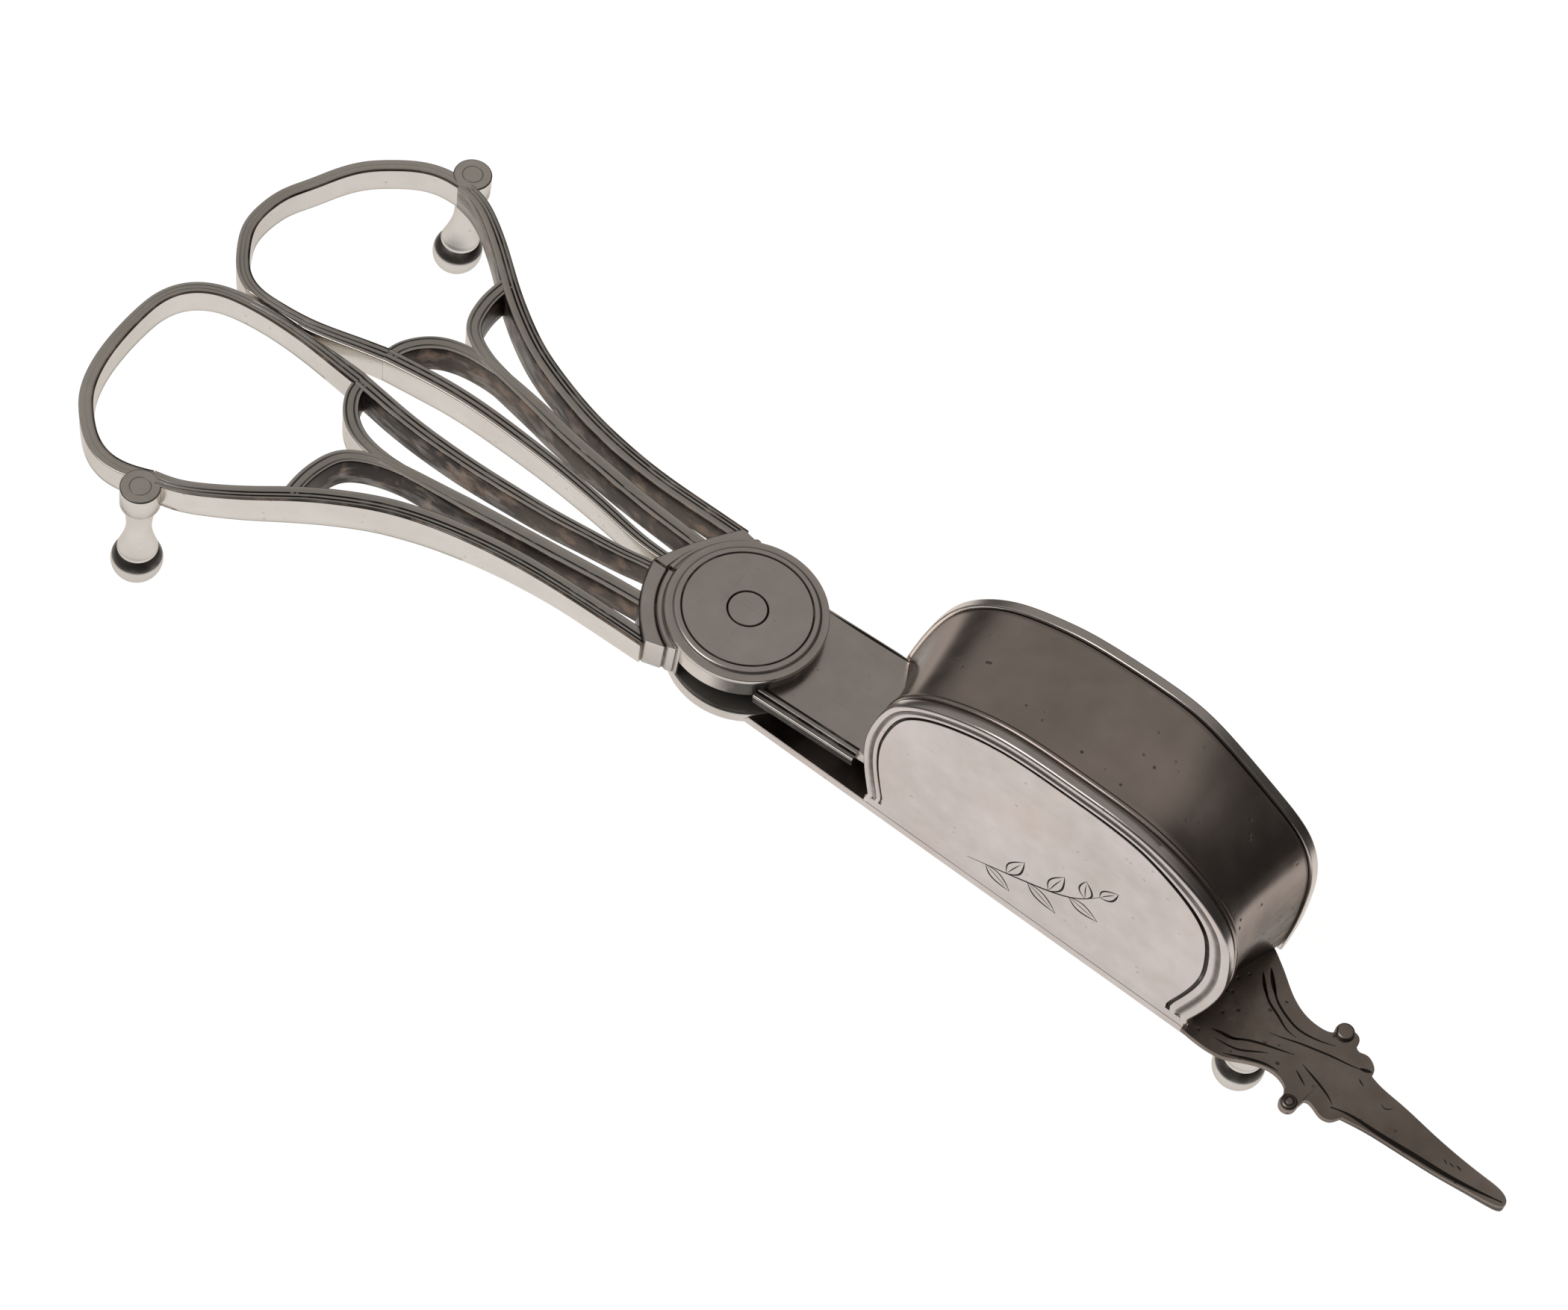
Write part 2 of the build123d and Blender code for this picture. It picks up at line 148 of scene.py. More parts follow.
def set_camera():
    """Camera where the photograph was taken from."""
    turn, tilt, lean = (math.radians(angle) for angle in CAMERA_ANGLES)
    back = Vector((-math.sin(turn) * math.cos(tilt), -math.cos(turn) * math.cos(tilt), math.sin(tilt)))
    level_right = Vector((0, 0, 1)).cross(back).normalized()
    level_up = back.cross(level_right)
    right = level_right * math.cos(lean) + level_up * math.sin(lean)
    up = level_up * math.cos(lean) - level_right * math.sin(lean)
    eye = place(0, 0, DISC_TOP) + (back * CAMERA_BACK + right * CAMERA_RIGHT - up * CAMERA_DOWN) * MM
    lens = bpy.data.cameras.new("photo_camera")
    lens.sensor_fit = "HORIZONTAL"
    lens.sensor_width = SENSOR_WIDTH
    lens.lens = LENS_LENGTH
    lens.clip_start = 0.01
    camera = bpy.data.objects.new("photo_camera", lens)
    axes = Matrix((right, up, back)).transposed().to_4x4()
    camera.matrix_world = Matrix.Translation(eye) @ axes
    bpy.context.scene.collection.objects.link(camera)
    bpy.context.scene.camera = camera


set_camera()


def smooth_line(points, count):
    """Smooth line through the points, as evenly spaced places."""
    knots = np.array(points, float)
    gaps = np.linalg.norm(np.diff(knots, axis=0), axis=1)
    reach = np.concatenate([[0], np.cumsum(gaps)])
    size = len(knots)
    system = np.eye(size)
    wanted = np.zeros_like(knots)
    for k in range(1, size - 1):
        system[k, k - 1:k + 2] = gaps[k - 1], 2 * (gaps[k - 1] + gaps[k]), gaps[k]
        wanted[k] = 6 * ((knots[k + 1] - knots[k]) / gaps[k] - (knots[k] - knots[k - 1]) / gaps[k - 1])
    bend = np.linalg.solve(system, wanted)
    fine = np.linspace(0, reach[-1], 12 * count)
    span = np.clip(np.searchsorted(reach, fine, side="right") - 1, 0, size - 2)
    width = gaps[span][:, None]
    low = ((reach[span + 1] - fine) / gaps[span])[:, None]
    high = 1 - low
    line = low * knots[span] + high * knots[span + 1]
    line += ((low ** 3 - low) * bend[span] + (high ** 3 - high) * bend[span + 1]) * width ** 2 / 6
    return even_line(line, count)


def even_line(line, count):
    """The same line with its places evenly spaced."""
    run = np.concatenate([[0], np.cumsum(np.linalg.norm(np.diff(line, axis=0), axis=1))])
    steps = np.linspace(0, run[-1], count + 1)
    return np.stack([np.interp(steps, run, line[:, k]) for k in range(line.shape[1])], axis=1)


def headings(line):
    """Direction of travel at each place of a line."""
    along = np.gradient(line, axis=0)
    return along / np.linalg.norm(along, axis=1)[:, None]


def moulding_tree():
    """Geometry nodes that carry a section along a line, its cuts fading with the line's depth."""
    tree = bpy.data.node_groups.new("moulding_run", "GeometryNodeTree")
    tree.interface.new_socket("Line", in_out="INPUT", socket_type="NodeSocketGeometry")
    tree.interface.new_socket("Section", in_out="INPUT", socket_type="NodeSocketObject")
    tree.interface.new_socket("Finish", in_out="INPUT", socket_type="NodeSocketMaterial")
    tree.interface.new_socket("Moulding", in_out="OUTPUT", socket_type="NodeSocketGeometry")
    links = tree.links
    source = tree.nodes.new("NodeGroupInput")
    sink = tree.nodes.new("NodeGroupOutput")

    def field(name, kind):
        reader = tree.nodes.new("GeometryNodeInputNamedAttribute")
        reader.data_type = kind
        reader.inputs["Name"].default_value = name
        return reader.outputs["Attribute"]

    def number(name):
        return field(name, "FLOAT")

    def vector(name):
        return field(name, "FLOAT_VECTOR")

    def join(kind, operation, first, second, socket=1):
        step = tree.nodes.new(kind)
        step.operation = operation
        links.new(first, step.inputs[0])
        links.new(second, step.inputs[socket])
        return step.outputs[0]

    def numbers(operation, first, second):
        return join("ShaderNodeMath", operation, number(first), second)

    def stretch(name, amount):
        return join("ShaderNodeVectorMath", "SCALE", vector(name), amount, "Scale")

    def total(first, second):
        return join("ShaderNodeVectorMath", "ADD", first, second)

    def store(shape, name, value):
        step = tree.nodes.new("GeometryNodeStoreNamedAttribute")
        step.data_type = "FLOAT"
        step.domain = "POINT"
        step.inputs["Name"].default_value = name
        links.new(shape, step.inputs["Geometry"])
        links.new(value, step.inputs["Value"])
        return step.outputs["Geometry"]

    line = tree.nodes.new("GeometryNodeMeshToCurve")
    links.new(source.outputs["Line"], line.inputs["Mesh"])
    section = tree.nodes.new("GeometryNodeObjectInfo")
    links.new(source.outputs["Section"], section.inputs["Object"])
    ring = tree.nodes.new("GeometryNodeMeshToCurve")
    links.new(section.outputs["Geometry"], ring.inputs["Mesh"])
    run = tree.nodes.new("GeometryNodeCurveToMesh")
    links.new(line.outputs["Curve"], run.inputs["Curve"])
    links.new(ring.outputs["Curve"], run.inputs["Profile Curve"])
    run.inputs["Fill Caps"].default_value = True

    dip = numbers("MULTIPLY", "cut", number("depth"))
    level = numbers("SUBTRACT", "level", dip)
    spot = total(stretch("side", number("across")), stretch("rise", level))
    shape = tree.nodes.new("GeometryNodeSetPosition")
    links.new(run.outputs["Mesh"], shape.inputs["Geometry"])
    links.new(total(vector("spine"), spot), shape.inputs["Position"])
    # Tarnish and grime go to the finish: dark patina and dirt, and on some pieces painted shade
    shaded = store(shape.outputs["Geometry"], "tarnish_and_shade", numbers("MULTIPLY", "dark", number("depth")))
    grimed_and_shaded = store(shaded, "grime_and_shade", numbers("MULTIPLY", "stain_and_shade", number("soil_and_shade")))
    solid = tree.nodes.new("GeometryNodeRealizeInstances")
    links.new(grimed_and_shaded, solid.inputs["Geometry"])
    finish = tree.nodes.new("GeometryNodeSetMaterial")
    links.new(solid.outputs["Geometry"], finish.inputs["Geometry"])
    links.new(source.outputs["Finish"], finish.inputs["Material"])
    links.new(finish.outputs["Geometry"], sink.inputs["Moulding"])
    return tree


MOULDING = moulding_tree()


def chain_mesh(name, chains, closed):
    """Lines of vertices joined by edges, one after the other."""
    points, edges = [], []
    for chain in chains:
        first = len(points)
        points += [tuple(spot) for spot in chain]
        edges += [(k, k + 1) for k in range(first, len(points) - 1)]
        if closed:
            edges.append((len(points) - 1, first))
    mesh = bpy.data.meshes.new(name)
    mesh.from_pydata(points, edges, [])
    return mesh


def mark(mesh, name, values):
    """Store one number or one vector for each point of a mesh."""
    values = np.array(values, np.float32)
    if values.ndim == 1:
        layer = mesh.attributes.new(name, "FLOAT", "POINT")
        layer.data.foreach_set("value", values)
    else:
        layer = mesh.attributes.new(name, "FLOAT_VECTOR", "POINT")
        layer.data.foreach_set("vector", values.ravel())


def tidy_mesh(mesh, crease):
    """Turn the faces outwards, close the seams and shade smooth up to a crease angle."""
    work = bmesh.new()
    work.from_mesh(mesh)
    bmesh.ops.remove_doubles(work, verts=work.verts, dist=1e-7)
    bmesh.ops.recalc_face_normals(work, faces=work.faces)
    work.to_mesh(mesh)
    work.free()
    mesh.shade_smooth()
    mesh.set_sharp_from_angle(angle=math.radians(crease))


RUN_MARKS = ("spine", "side", "rise", "depth", "soil_and_shade")
SECTION_MARKS = ("across", "level", "cut", "dark", "stain_and_shade")


def straight_run(line, side, rise):
    """Run with the same side, rise and depth all along its line."""
    count = len(line)
    return line, [side] * count, [rise] * count, np.ones(count)


def plain_section(rows):
    """Section without cuts. A row is a place across, a level, its tarnish and any grime, which in some
    sections are painted shade.
    """
    return [(*row[:2], 0, row[2], row[3] if len(row) > 3 else 0) for row in rows]


def draw_moulding(name, runs, section, finish, crease=40):
    """Draw a section along runs. A run is its line, side and rise vectors, depths and any soil, which also
    scales painted shade.
    """
    runs = [run if len(run) == len(RUN_MARKS) else (*run, np.ones(len(run[0]))) for run in runs]
    mesh = chain_mesh(name, [run[0] for run in runs], False)
    for label, parts in zip(RUN_MARKS, zip(*runs)):
        mark(mesh, label, np.concatenate(parts))
    ring = [(spot[0] * MM, spot[1] * MM, 0) for spot in section]
    profile = bpy.data.objects.new(name + "_section", chain_mesh(name + "_section", [ring], True))
    for k, label in enumerate(SECTION_MARKS):
        mark(profile.data, label, [spot[k] for spot in section])
    piece = bpy.data.objects.new(name, mesh)
    for thing in (profile, piece):
        bpy.context.scene.collection.objects.link(thing)
    step = piece.modifiers.new("moulding", "NODES")
    step.node_group = MOULDING
    sockets = {item.name: item.identifier for item in MOULDING.interface.items_tree if item.in_out == "INPUT"}
    step[sockets["Section"]] = profile
    step[sockets["Finish"]] = finish
    graph = bpy.context.evaluated_depsgraph_get()
    drawn = bpy.data.meshes.new_from_object(piece.evaluated_get(graph))
    piece.modifiers.clear()
    piece.data = drawn
    drawn.name = name
    bpy.data.objects.remove(profile)
    for label in RUN_MARKS + SECTION_MARKS:
        if label in drawn.attributes:
            drawn.attributes.remove(drawn.attributes[label])
    tidy_mesh(drawn, crease)
    return piece


def make_piece(name, points, faces, finish, dark=None, crease=40, grime_and_shade=None):
    """A piece from its points and faces."""
    mesh = bpy.data.meshes.new(name)
    mesh.from_pydata([tuple(point) for point in points], [], faces)
    for label, values in (("tarnish_and_shade", dark), ("grime_and_shade", grime_and_shade)):
        if values is not None:
            mark(mesh, label, values)
    mesh.materials.append(finish)
    tidy_mesh(mesh, crease)
    piece = bpy.data.objects.new(name, mesh)
    bpy.context.scene.collection.objects.link(piece)
    return piece


def turned(profile, x, y, steps=96):
    """Points, faces and tarnish of a turned shape: (radius, level, tarnish) from its foot to its top. In some
    profiles the tarnish is painted shade.
    """
    points, faces, dark, rings = [], [], [], []
    for radius, level, shade in profile:
        first = len(points)
        count = steps if radius > 0 else 1
        for k in range(count):
            angle = 2 * math.pi * k / steps
            points.append(place(x + radius * math.cos(angle), y + radius * math.sin(angle), level))
        dark += [shade] * count
        rings.append(range(first, first + count))
    for low, high in zip(rings, rings[1:]):
        for k in range(steps):
            after = (k + 1) % steps
            corners = [low[k % len(low)], low[after % len(low)], high[after % len(high)], high[k % len(high)]]
            faces.append(tuple(dict.fromkeys(corners)))
    return points, faces, dark


def turn_piece(name, profile, x, y, finish, crease=35):
    points, faces, dark = turned(profile, x, y)
    return make_piece(name, points, faces, finish, dark, crease)


def dress(piece, body, slot, *nodes):
    """Hang a piece on its body in place of its plain parts. Its slot is not used."""
    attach(piece, body)
    if nodes:
        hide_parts(*nodes)
    return piece


def soften(piece, width, segments=3, angle=40):
    """Round a plate's edges a little."""
    step = piece.modifiers.new("edge", "BEVEL")
    step.width = width * MM
    step.segments = segments
    step.limit_method = "ANGLE"
    step.angle_limit = math.radians(angle)
    step.harden_normals = True


# Finishes
def maths(tree, operation, first, second=None, clamp=False):
    step = tree.nodes.new("ShaderNodeMath")
    step.operation = operation
    step.use_clamp = clamp
    for socket, value in zip(step.inputs, (first, second)):
        if isinstance(value, bpy.types.NodeSocket):
            tree.links.new(value, socket)
        elif value is not None:
            socket.default_value = value
    return step.outputs[0]


def blend_colour(tree, amount, first, second):
    step = tree.nodes.new("ShaderNodeMix")
    step.data_type = "RGBA"
    for socket, value in ((step.inputs[0], amount), (step.inputs[6], first), (step.inputs[7], second)):
        if isinstance(value, bpy.types.NodeSocket):
            tree.links.new(value, socket)
        else:
            socket.default_value = value
    return step.outputs[2]


def cloudy(tree, coords, scale, detail, stretch=(1, 1, 1), turn=(0, 0, 0)):
    """Soft noise, its marks stretched and turned where asked."""
    lay = tree.nodes.new("ShaderNodeMapping")
    lay.inputs["Scale"].default_value = stretch
    lay.inputs["Rotation"].default_value = turn
    tree.links.new(coords, lay.inputs["Vector"])
    step = tree.nodes.new("ShaderNodeTexNoise")
    step.inputs["Scale"].default_value = scale
    step.inputs["Detail"].default_value = detail
    tree.links.new(lay.outputs["Vector"], step.inputs["Vector"])
    return step.outputs[0]


def ramp(tree, value, low, high, start=0.0, end=1.0):
    step = tree.nodes.new("ShaderNodeMapRange")
    step.interpolation_type = "SMOOTHSTEP"
    for name, amount in (("From Min", low), ("From Max", high), ("To Min", start), ("To Max", end)):
        step.inputs[name].default_value = amount
    tree.links.new(value, step.inputs["Value"])
    return step.outputs[0]


ROSY_SILVER = (0.60, 0.49, 0.44, 1)
SCRATCH_GREY = (0.16, 0.145, 0.13, 1)
# Brown of grime and black of cuts; both also stand in for shade as painted shade and painted reflection
SOOT_AND_SHADE_BROWN = (0.03, 0.023, 0.02, 1)
DULL_BROWN = (0.10, 0.078, 0.062, 1)
COPPER_BROWN = (0.27, 0.19, 0.145, 1)
CUT_AND_SHADE_BLACK = (0.022, 0.018, 0.016, 1)
BUMP_DEPTH = 0.00003


def silver_group():
    """Worn silver: clouded tone, fine scratches, pits, brown grime in the slots and black in the cuts. The
    same brown and black also paint shade and dark reflections where a piece's marks carry them.
    """
    tree = bpy.data.node_groups.new("silver_surface", "ShaderNodeTree")
    inputs = (("Bright", "NodeSocketColor"), ("Shade", "NodeSocketColor"), ("Tarnish and shade", "NodeSocketFloat"),
              ("Grime and shade", "NodeSocketFloat"), ("Mottle", "NodeSocketFloat"), ("Gloss", "NodeSocketFloat"),
              ("Scratch", "NodeSocketFloat"), ("Pits", "NodeSocketFloat"))
    outputs = (("Colour", "NodeSocketColor"), ("Roughness", "NodeSocketFloat"), ("Metal", "NodeSocketFloat"),
               ("Height", "NodeSocketFloat"))
    for name, kind in inputs:
        tree.interface.new_socket(name, in_out="INPUT", socket_type=kind)
    for name, kind in outputs:
        tree.interface.new_socket(name, in_out="OUTPUT", socket_type=kind)
    source = tree.nodes.new("NodeGroupInput").outputs
    sink = tree.nodes.new("NodeGroupOutput").inputs
    coords = tree.nodes.new("ShaderNodeTexCoord").outputs["Object"]

    def plus(first, second, clamp=False):
        return maths(tree, "ADD", first, second, clamp)

    def minus(first, second):
        return maths(tree, "SUBTRACT", first, second)

    def times(first, second, clamp=False):
        return maths(tree, "MULTIPLY", first, second, clamp)

    def most(first, second):
        return maths(tree, "MAXIMUM", first, second)

    def blend(amount, first, second):
        return blend_colour(tree, amount, first, second)

    cloud = cloudy(tree, coords, 70, 3)
    patch = cloudy(tree, coords, 380, 4)
    grain = cloudy(tree, coords, 3000, 3)
    tint = cloudy(tree, coords, 110, 2, turn=(0.4, 0.9, 0.2))
    long_lines = ramp(tree, cloudy(tree, coords, 1, 2, (160, 4200, 4200), (0.1, 0.2, 0.5)), 0.62, 0.8)
    cross_lines = ramp(tree, cloudy(tree, coords, 1, 2, (3600, 190, 3600), (0.3, -0.2, -0.4)), 0.64, 0.82)
    lines = times(most(long_lines, cross_lines), source["Scratch"])
    cells = tree.nodes.new("ShaderNodeTexVoronoi")
    cells.inputs["Scale"].default_value = 700
    tree.links.new(coords, cells.inputs["Vector"])
    dots = ramp(tree, cells.outputs["Distance"], 0.08, 0.2, 1.0, 0.0)
    crowd = most(ramp(tree, patch, 0.5, 0.62), ramp(tree, source["Grime and shade"], 0.1, 0.4, 0.0, 0.9))
    pits = times(times(dots, crowd), source["Pits"])

    tone = plus(times(minus(cloud, 0.5), 2.4), times(minus(patch, 0.5), 1.6))
    tone = plus(times(tone, source["Mottle"]), 0.5, True)
    metal = blend(tone, source["Shade"], source["Bright"])
    rosy = blend(0.4, metal, ROSY_SILVER)
    metal = blend(times(ramp(tree, tint, 0.5, 0.75), source["Mottle"]), metal, rosy)
    metal = blend(times(lines, 0.3), metal, SCRATCH_GREY)

    streak = cloudy(tree, coords, 1, 4, (260, 260, 900))
    # Grime browns the metal: dirt in the slots, and painted shade along some edges and at the point's root
    soil_and_shade = times(source["Grime and shade"], ramp(tree, streak, 0.3, 0.62, 0.85, 1.25), True)
    dim = blend(ramp(tree, cloud, 0.4, 0.58), SOOT_AND_SHADE_BROWN, DULL_BROWN)
    brown = blend(ramp(tree, patch, 0.48, 0.7), dim, COPPER_BROWN)
    metal = blend(soil_and_shade, metal, brown)
    # Tarnish blackens the metal: patina in the cuts, and painted shade and painted reflection on the feet,
    # the discs and the roof's edges
    black = times(source["Tarnish and shade"], ramp(tree, patch, 0.25, 0.55, 0.7, 1.05), True)
    black = most(black, times(pits, 0.8))
    tree.links.new(blend(black, metal, CUT_AND_SHADE_BLACK), sink["Colour"])

    rough = plus(source["Gloss"], times(minus(patch, 0.5), 0.16))
    rough = plus(rough, times(plus(soil_and_shade, black), 0.16))
    rough = plus(rough, times(lines, 0.08), True)
    tree.links.new(rough, sink["Roughness"])
    dull = times(most(soil_and_shade, black), 0.4)
    tree.links.new(minus(1.0, dull), sink["Metal"])
    height = minus(times(grain, 0.2), times(lines, 0.3))
    height = plus(height, patch)
    height = minus(height, times(pits, 2.5))
    tree.links.new(height, sink["Height"])
    return tree


SILVER = silver_group()


def silver(name, bright, shade, mottle, gloss, scratch, pits, relief, slant=1.0):
    """One silver finish with its own values of the shared surface."""
    finish = bpy.data.materials.new(name)
    finish.use_nodes = True
    tree = finish.node_tree
    shader = tree.nodes["Principled BSDF"]
    surface = tree.nodes.new("ShaderNodeGroup")
    surface.node_tree = SILVER
    values = {"Bright": (*bright, 1), "Shade": (*shade, 1), "Mottle": mottle, "Gloss": gloss,
              "Scratch": scratch, "Pits": pits}
    for label, value in values.items():
        surface.inputs[label].default_value = value
    for label, layer in (("Tarnish and shade", "tarnish_and_shade"), ("Grime and shade", "grime_and_shade")):
        reader = tree.nodes.new("ShaderNodeAttribute")
        reader.attribute_name = layer
        tree.links.new(reader.outputs["Fac"], surface.inputs[label])
    bump = tree.nodes.new("ShaderNodeBump")
    bump.inputs["Strength"].default_value = relief
    bump.inputs["Distance"].default_value = BUMP_DEPTH
    tree.links.new(surface.outputs["Height"], bump.inputs["Height"])
    tree.links.new(bump.outputs["Normal"], shader.inputs["Normal"])
    tree.links.new(surface.outputs["Colour"], shader.inputs["Base Color"])
    tree.links.new(surface.outputs["Roughness"], shader.inputs["Roughness"])
    tree.links.new(surface.outputs["Metal"], shader.inputs["Metallic"])
    shader.inputs["Specular Tint"].default_value = (slant, slant * 0.95, slant * 0.9, 1)
    return finish


HANDLE_SILVER = silver("handle_silver", (0.75, 0.715, 0.67), (0.61, 0.575, 0.53),
                       mottle=0.5, gloss=0.22, scratch=0.35, pits=0.25, relief=0.35, slant=0.8)
PIVOT_SILVER = silver("pivot_silver", (0.685, 0.635, 0.60), (0.55, 0.505, 0.47),
                      mottle=0.65, gloss=0.24, scratch=0.6, pits=0.2, relief=0.4)
PANEL_SILVER = silver("panel_silver", (0.66, 0.605, 0.585), (0.53, 0.475, 0.45),
                      mottle=0.8, gloss=0.22, scratch=0.3, pits=0.25, relief=0.3)
ROOF_SILVER = silver("roof_silver", (0.46, 0.395, 0.362), (0.36, 0.305, 0.275),
                     mottle=0.7, gloss=0.24, scratch=0.3, pits=0.95, relief=0.4, slant=0.5)
POINT_SILVER = silver("point_silver", (0.35, 0.30, 0.265), (0.24, 0.20, 0.175),
                      mottle=0.9, gloss=0.28, scratch=0.6, pits=0.9, relief=0.7, slant=0.6)
# Near-black silver that stands in for shade: painted shade on the base plate's top and on the washer
SHADOWED_SILVER = silver("shadowed_silver", (0.12, 0.095, 0.08), (0.035, 0.027, 0.022),
                      mottle=0.9, gloss=0.45, scratch=0.3, pits=0.5, relief=0.6)
GRAVER_BLACK = silver("graver_black", (0.075, 0.066, 0.06), (0.04, 0.035, 0.03),
                      mottle=0.6, gloss=0.5, scratch=0.2, pits=0.2, relief=0.5)


# Handles
def droop(x, y, z):
    """A point of a handle, which falls a little towards its loop."""
    along, up = x - DROOP_X, z - RAIL_TOP
    turn_along = along * math.cos(DROOP) - up * math.sin(DROOP)
    turn_up = along * math.sin(DROOP) + up * math.cos(DROOP)
    return place(DROOP_X + turn_along, y, RAIL_TOP + turn_up)


def belly(x):
    """How far a rail's foot hangs lower between the pivot and the loop."""
    return 1.1 * np.interp(x, (-66, -56, -48, -38, -28, -18), (0, 0.45, 0.95, 0.95, 0.5, 0))


CORNER_STEPS = 4
# Place across a cut, share of its depth, tarnish
CUT_SHAPE = ((-1.0, 0.0, 0.3), (-0.6, 0.15, 0.95), (-0.25, 1.0, 1.0), (0.25, 1.0, 1.0), (0.6, 0.15, 0.95),
             (1.0, 0.0, 0.3))
WALL_LEVELS = (0.03, 0.25, 0.5, 0.75)


def bar_side(hand, corner, grime_and_shade, edge_shade):
    """One wall of a bar from its foot, and the rounded corner over it."""
    levels = (*WALL_LEVELS, 1 - corner[1])
    side = [(hand, level, 0, 0, grime_and_shade * (0.8 + 0.25 * level)) for level in levels]
    for k in range(1, CORNER_STEPS + 1):
        turn = math.pi / 2 * k / CORNER_STEPS
        # Slot grime fades up the corner; an edge shade, where asked, keeps the whole corner dark as a painted
        # shadow line
        grime_and_edge_shade = max(grime_and_shade * (1 - (k / CORNER_STEPS) ** 4), edge_shade)
        across = hand * (1 - corner[0] * (1 - math.cos(turn)))
        side.append((across, 1 - corner[1] * (1 - math.sin(turn)), 0, 0, grime_and_edge_shade))
    return side


TOP_DIRT = 0.22
EDGE_STRIP = 0.7


def bar_section(bands, cut, grime_and_shade, edge_shade=(0, 0), cut_half=0.15, corner=(0.16, 0.042)):
    """Section of a bar with a cut top. The bands share its width, from its -1 wall to its +1 wall."""
    ring = [(-0.9, 0.0, 0, 0, grime_and_shade[0] * 0.5)] + bar_side(-1, corner, grime_and_shade[0], edge_shade[0])
    # Where asked, a dark strip along the top's edge: painted shade, a shadow line along that edge
    if edge_shade[0]:
        ring += [(-EDGE_STRIP - 0.06, 1.0, 0, 0, edge_shade[0]), (-EDGE_STRIP + 0.04, 1.0, 0, 0, TOP_DIRT)]
    edge = -1.0
    for k, band in enumerate(bands):
        width = 2 * band / sum(bands)
        if k:
            ring += [(edge + cut_half * across, 1.0, cut * dip, dark, 0) for across, dip, dark in CUT_SHAPE]
        if cut_half * 2 < width and abs(edge + width / 2) < EDGE_STRIP - 0.05:
            ring.append((edge + width / 2, 1.006, 0, 0, TOP_DIRT))
        edge += width
    if edge_shade[1]:
        ring += [(EDGE_STRIP - 0.04, 1.0, 0, 0, TOP_DIRT), (EDGE_STRIP + 0.06, 1.0, 0, 0, edge_shade[1])]
    ring += reversed(bar_side(1, corner, grime_and_shade[1], edge_shade[1]))
    return ring + [(0.9, 0.0, 0, 0, grime_and_shade[1] * 0.5)]


def handle_run(shares, hand, widths, depths, soils_and_shade, lower, hang, count):
    """The run of one strip on the handle, its side vectors half its width and its rise its height."""
    line = smooth_line([(-HANDLE_REACH * along, LUG_SIDE * across) for along, across in shares], count)
    along = headings(line)
    share = np.linspace(0, 1, count + 1)
    half = np.interp(share, np.linspace(0, 1, len(widths)), widths) / 2
    depth = np.interp(share, np.linspace(0, 1, len(depths)), depths)
    soil_and_shade = np.interp(share, np.linspace(0, 1, len(soils_and_shade)), soils_and_shade)
    spine, side, rise = [], [], []
    for (x, y), (run_x, run_y), wide in zip(line, along, half):
        bottom = RAIL_BOTTOM - hang * belly(x)
        foot = droop(x, hand * y, bottom)
        spine.append(foot)
        side.append(droop(x + run_y * wide, hand * (y - run_x * wide), bottom) - foot)
        rise.append((droop(x, hand * y, RAIL_TOP) - foot) * (1 - lower / RAIL_HEIGHT))
    return spine, side, rise, depth, soil_and_shade


def keep_apart(piece, hand, limit):
    """Keep a handle's strip on its own side of the gap between the two handles."""
    for vertex in piece.data.vertices:
        vertex.co.y = hand * max(hand * vertex.co.y, limit * MM)


FOOT_BALL = 2.99
FOOT_FLAT = 1.5
FOOT_CUP = 2.14
FOOT_CUP_TOP = 6.3
FOOT_STEM = 1.46
FOOT_STEM_MIDDLE = 1.58
FOOT_STEM_TOP = 1.9
NECK_SHARE = 0.42
BALL_STEPS = 49
# Angle up the ball in degrees, darkness there: a painted dark reflection over the ball's upper part
BELT_ANGLES = (13, 18)
BELT_DARK_REFLECTION = (0.06, 0.84)
# Way out from the cup's foot, way up from it, tarnish
CUP_LIP = [(-0.06, 0.04, 0.9), (0.1, 0.08, 0.4), (0.18, 0.17, 0), (0.2, 0.3, 0), (0.18, 0.5, 0),
           (0.12, 0.72, 0.15)]


def foot_profile(top):
    """Profile of a turned foot, from the table up to what it carries."""
    middle = math.sqrt(FOOT_BALL ** 2 - FOOT_FLAT ** 2)
    start = -math.acos(FOOT_FLAT / FOOT_BALL)
    end = math.acos(FOOT_CUP / FOOT_BALL)
    profile = [(0, 0.03, 0.2), (FOOT_FLAT - 0.2, 0.0, 0.1)]
    for angle in np.linspace(start, end, BALL_STEPS):
        belt = np.interp(math.degrees(angle), BELT_ANGLES, BELT_DARK_REFLECTION)
        profile.append((FOOT_BALL * math.cos(angle), middle + FOOT_BALL * math.sin(angle), belt))
    cup_low = profile[-1][1]
    profile += [(FOOT_CUP + out, cup_low + up, shade) for out, up, shade in CUP_LIP]
    neck = FOOT_CUP_TOP + (top - FOOT_CUP_TOP) * NECK_SHARE
    stem = smooth_line([(FOOT_CUP + 0.06, cup_low + 0.9), (FOOT_CUP - 0.14, FOOT_CUP_TOP), (FOOT_STEM, neck),
                        (FOOT_STEM_MIDDLE, neck + (top - neck) * 0.5), (FOOT_STEM_TOP, top)], 30)
    profile += [(radius, level, 0) for radius, level in stem]
    return profile + [(0, top, 0)]


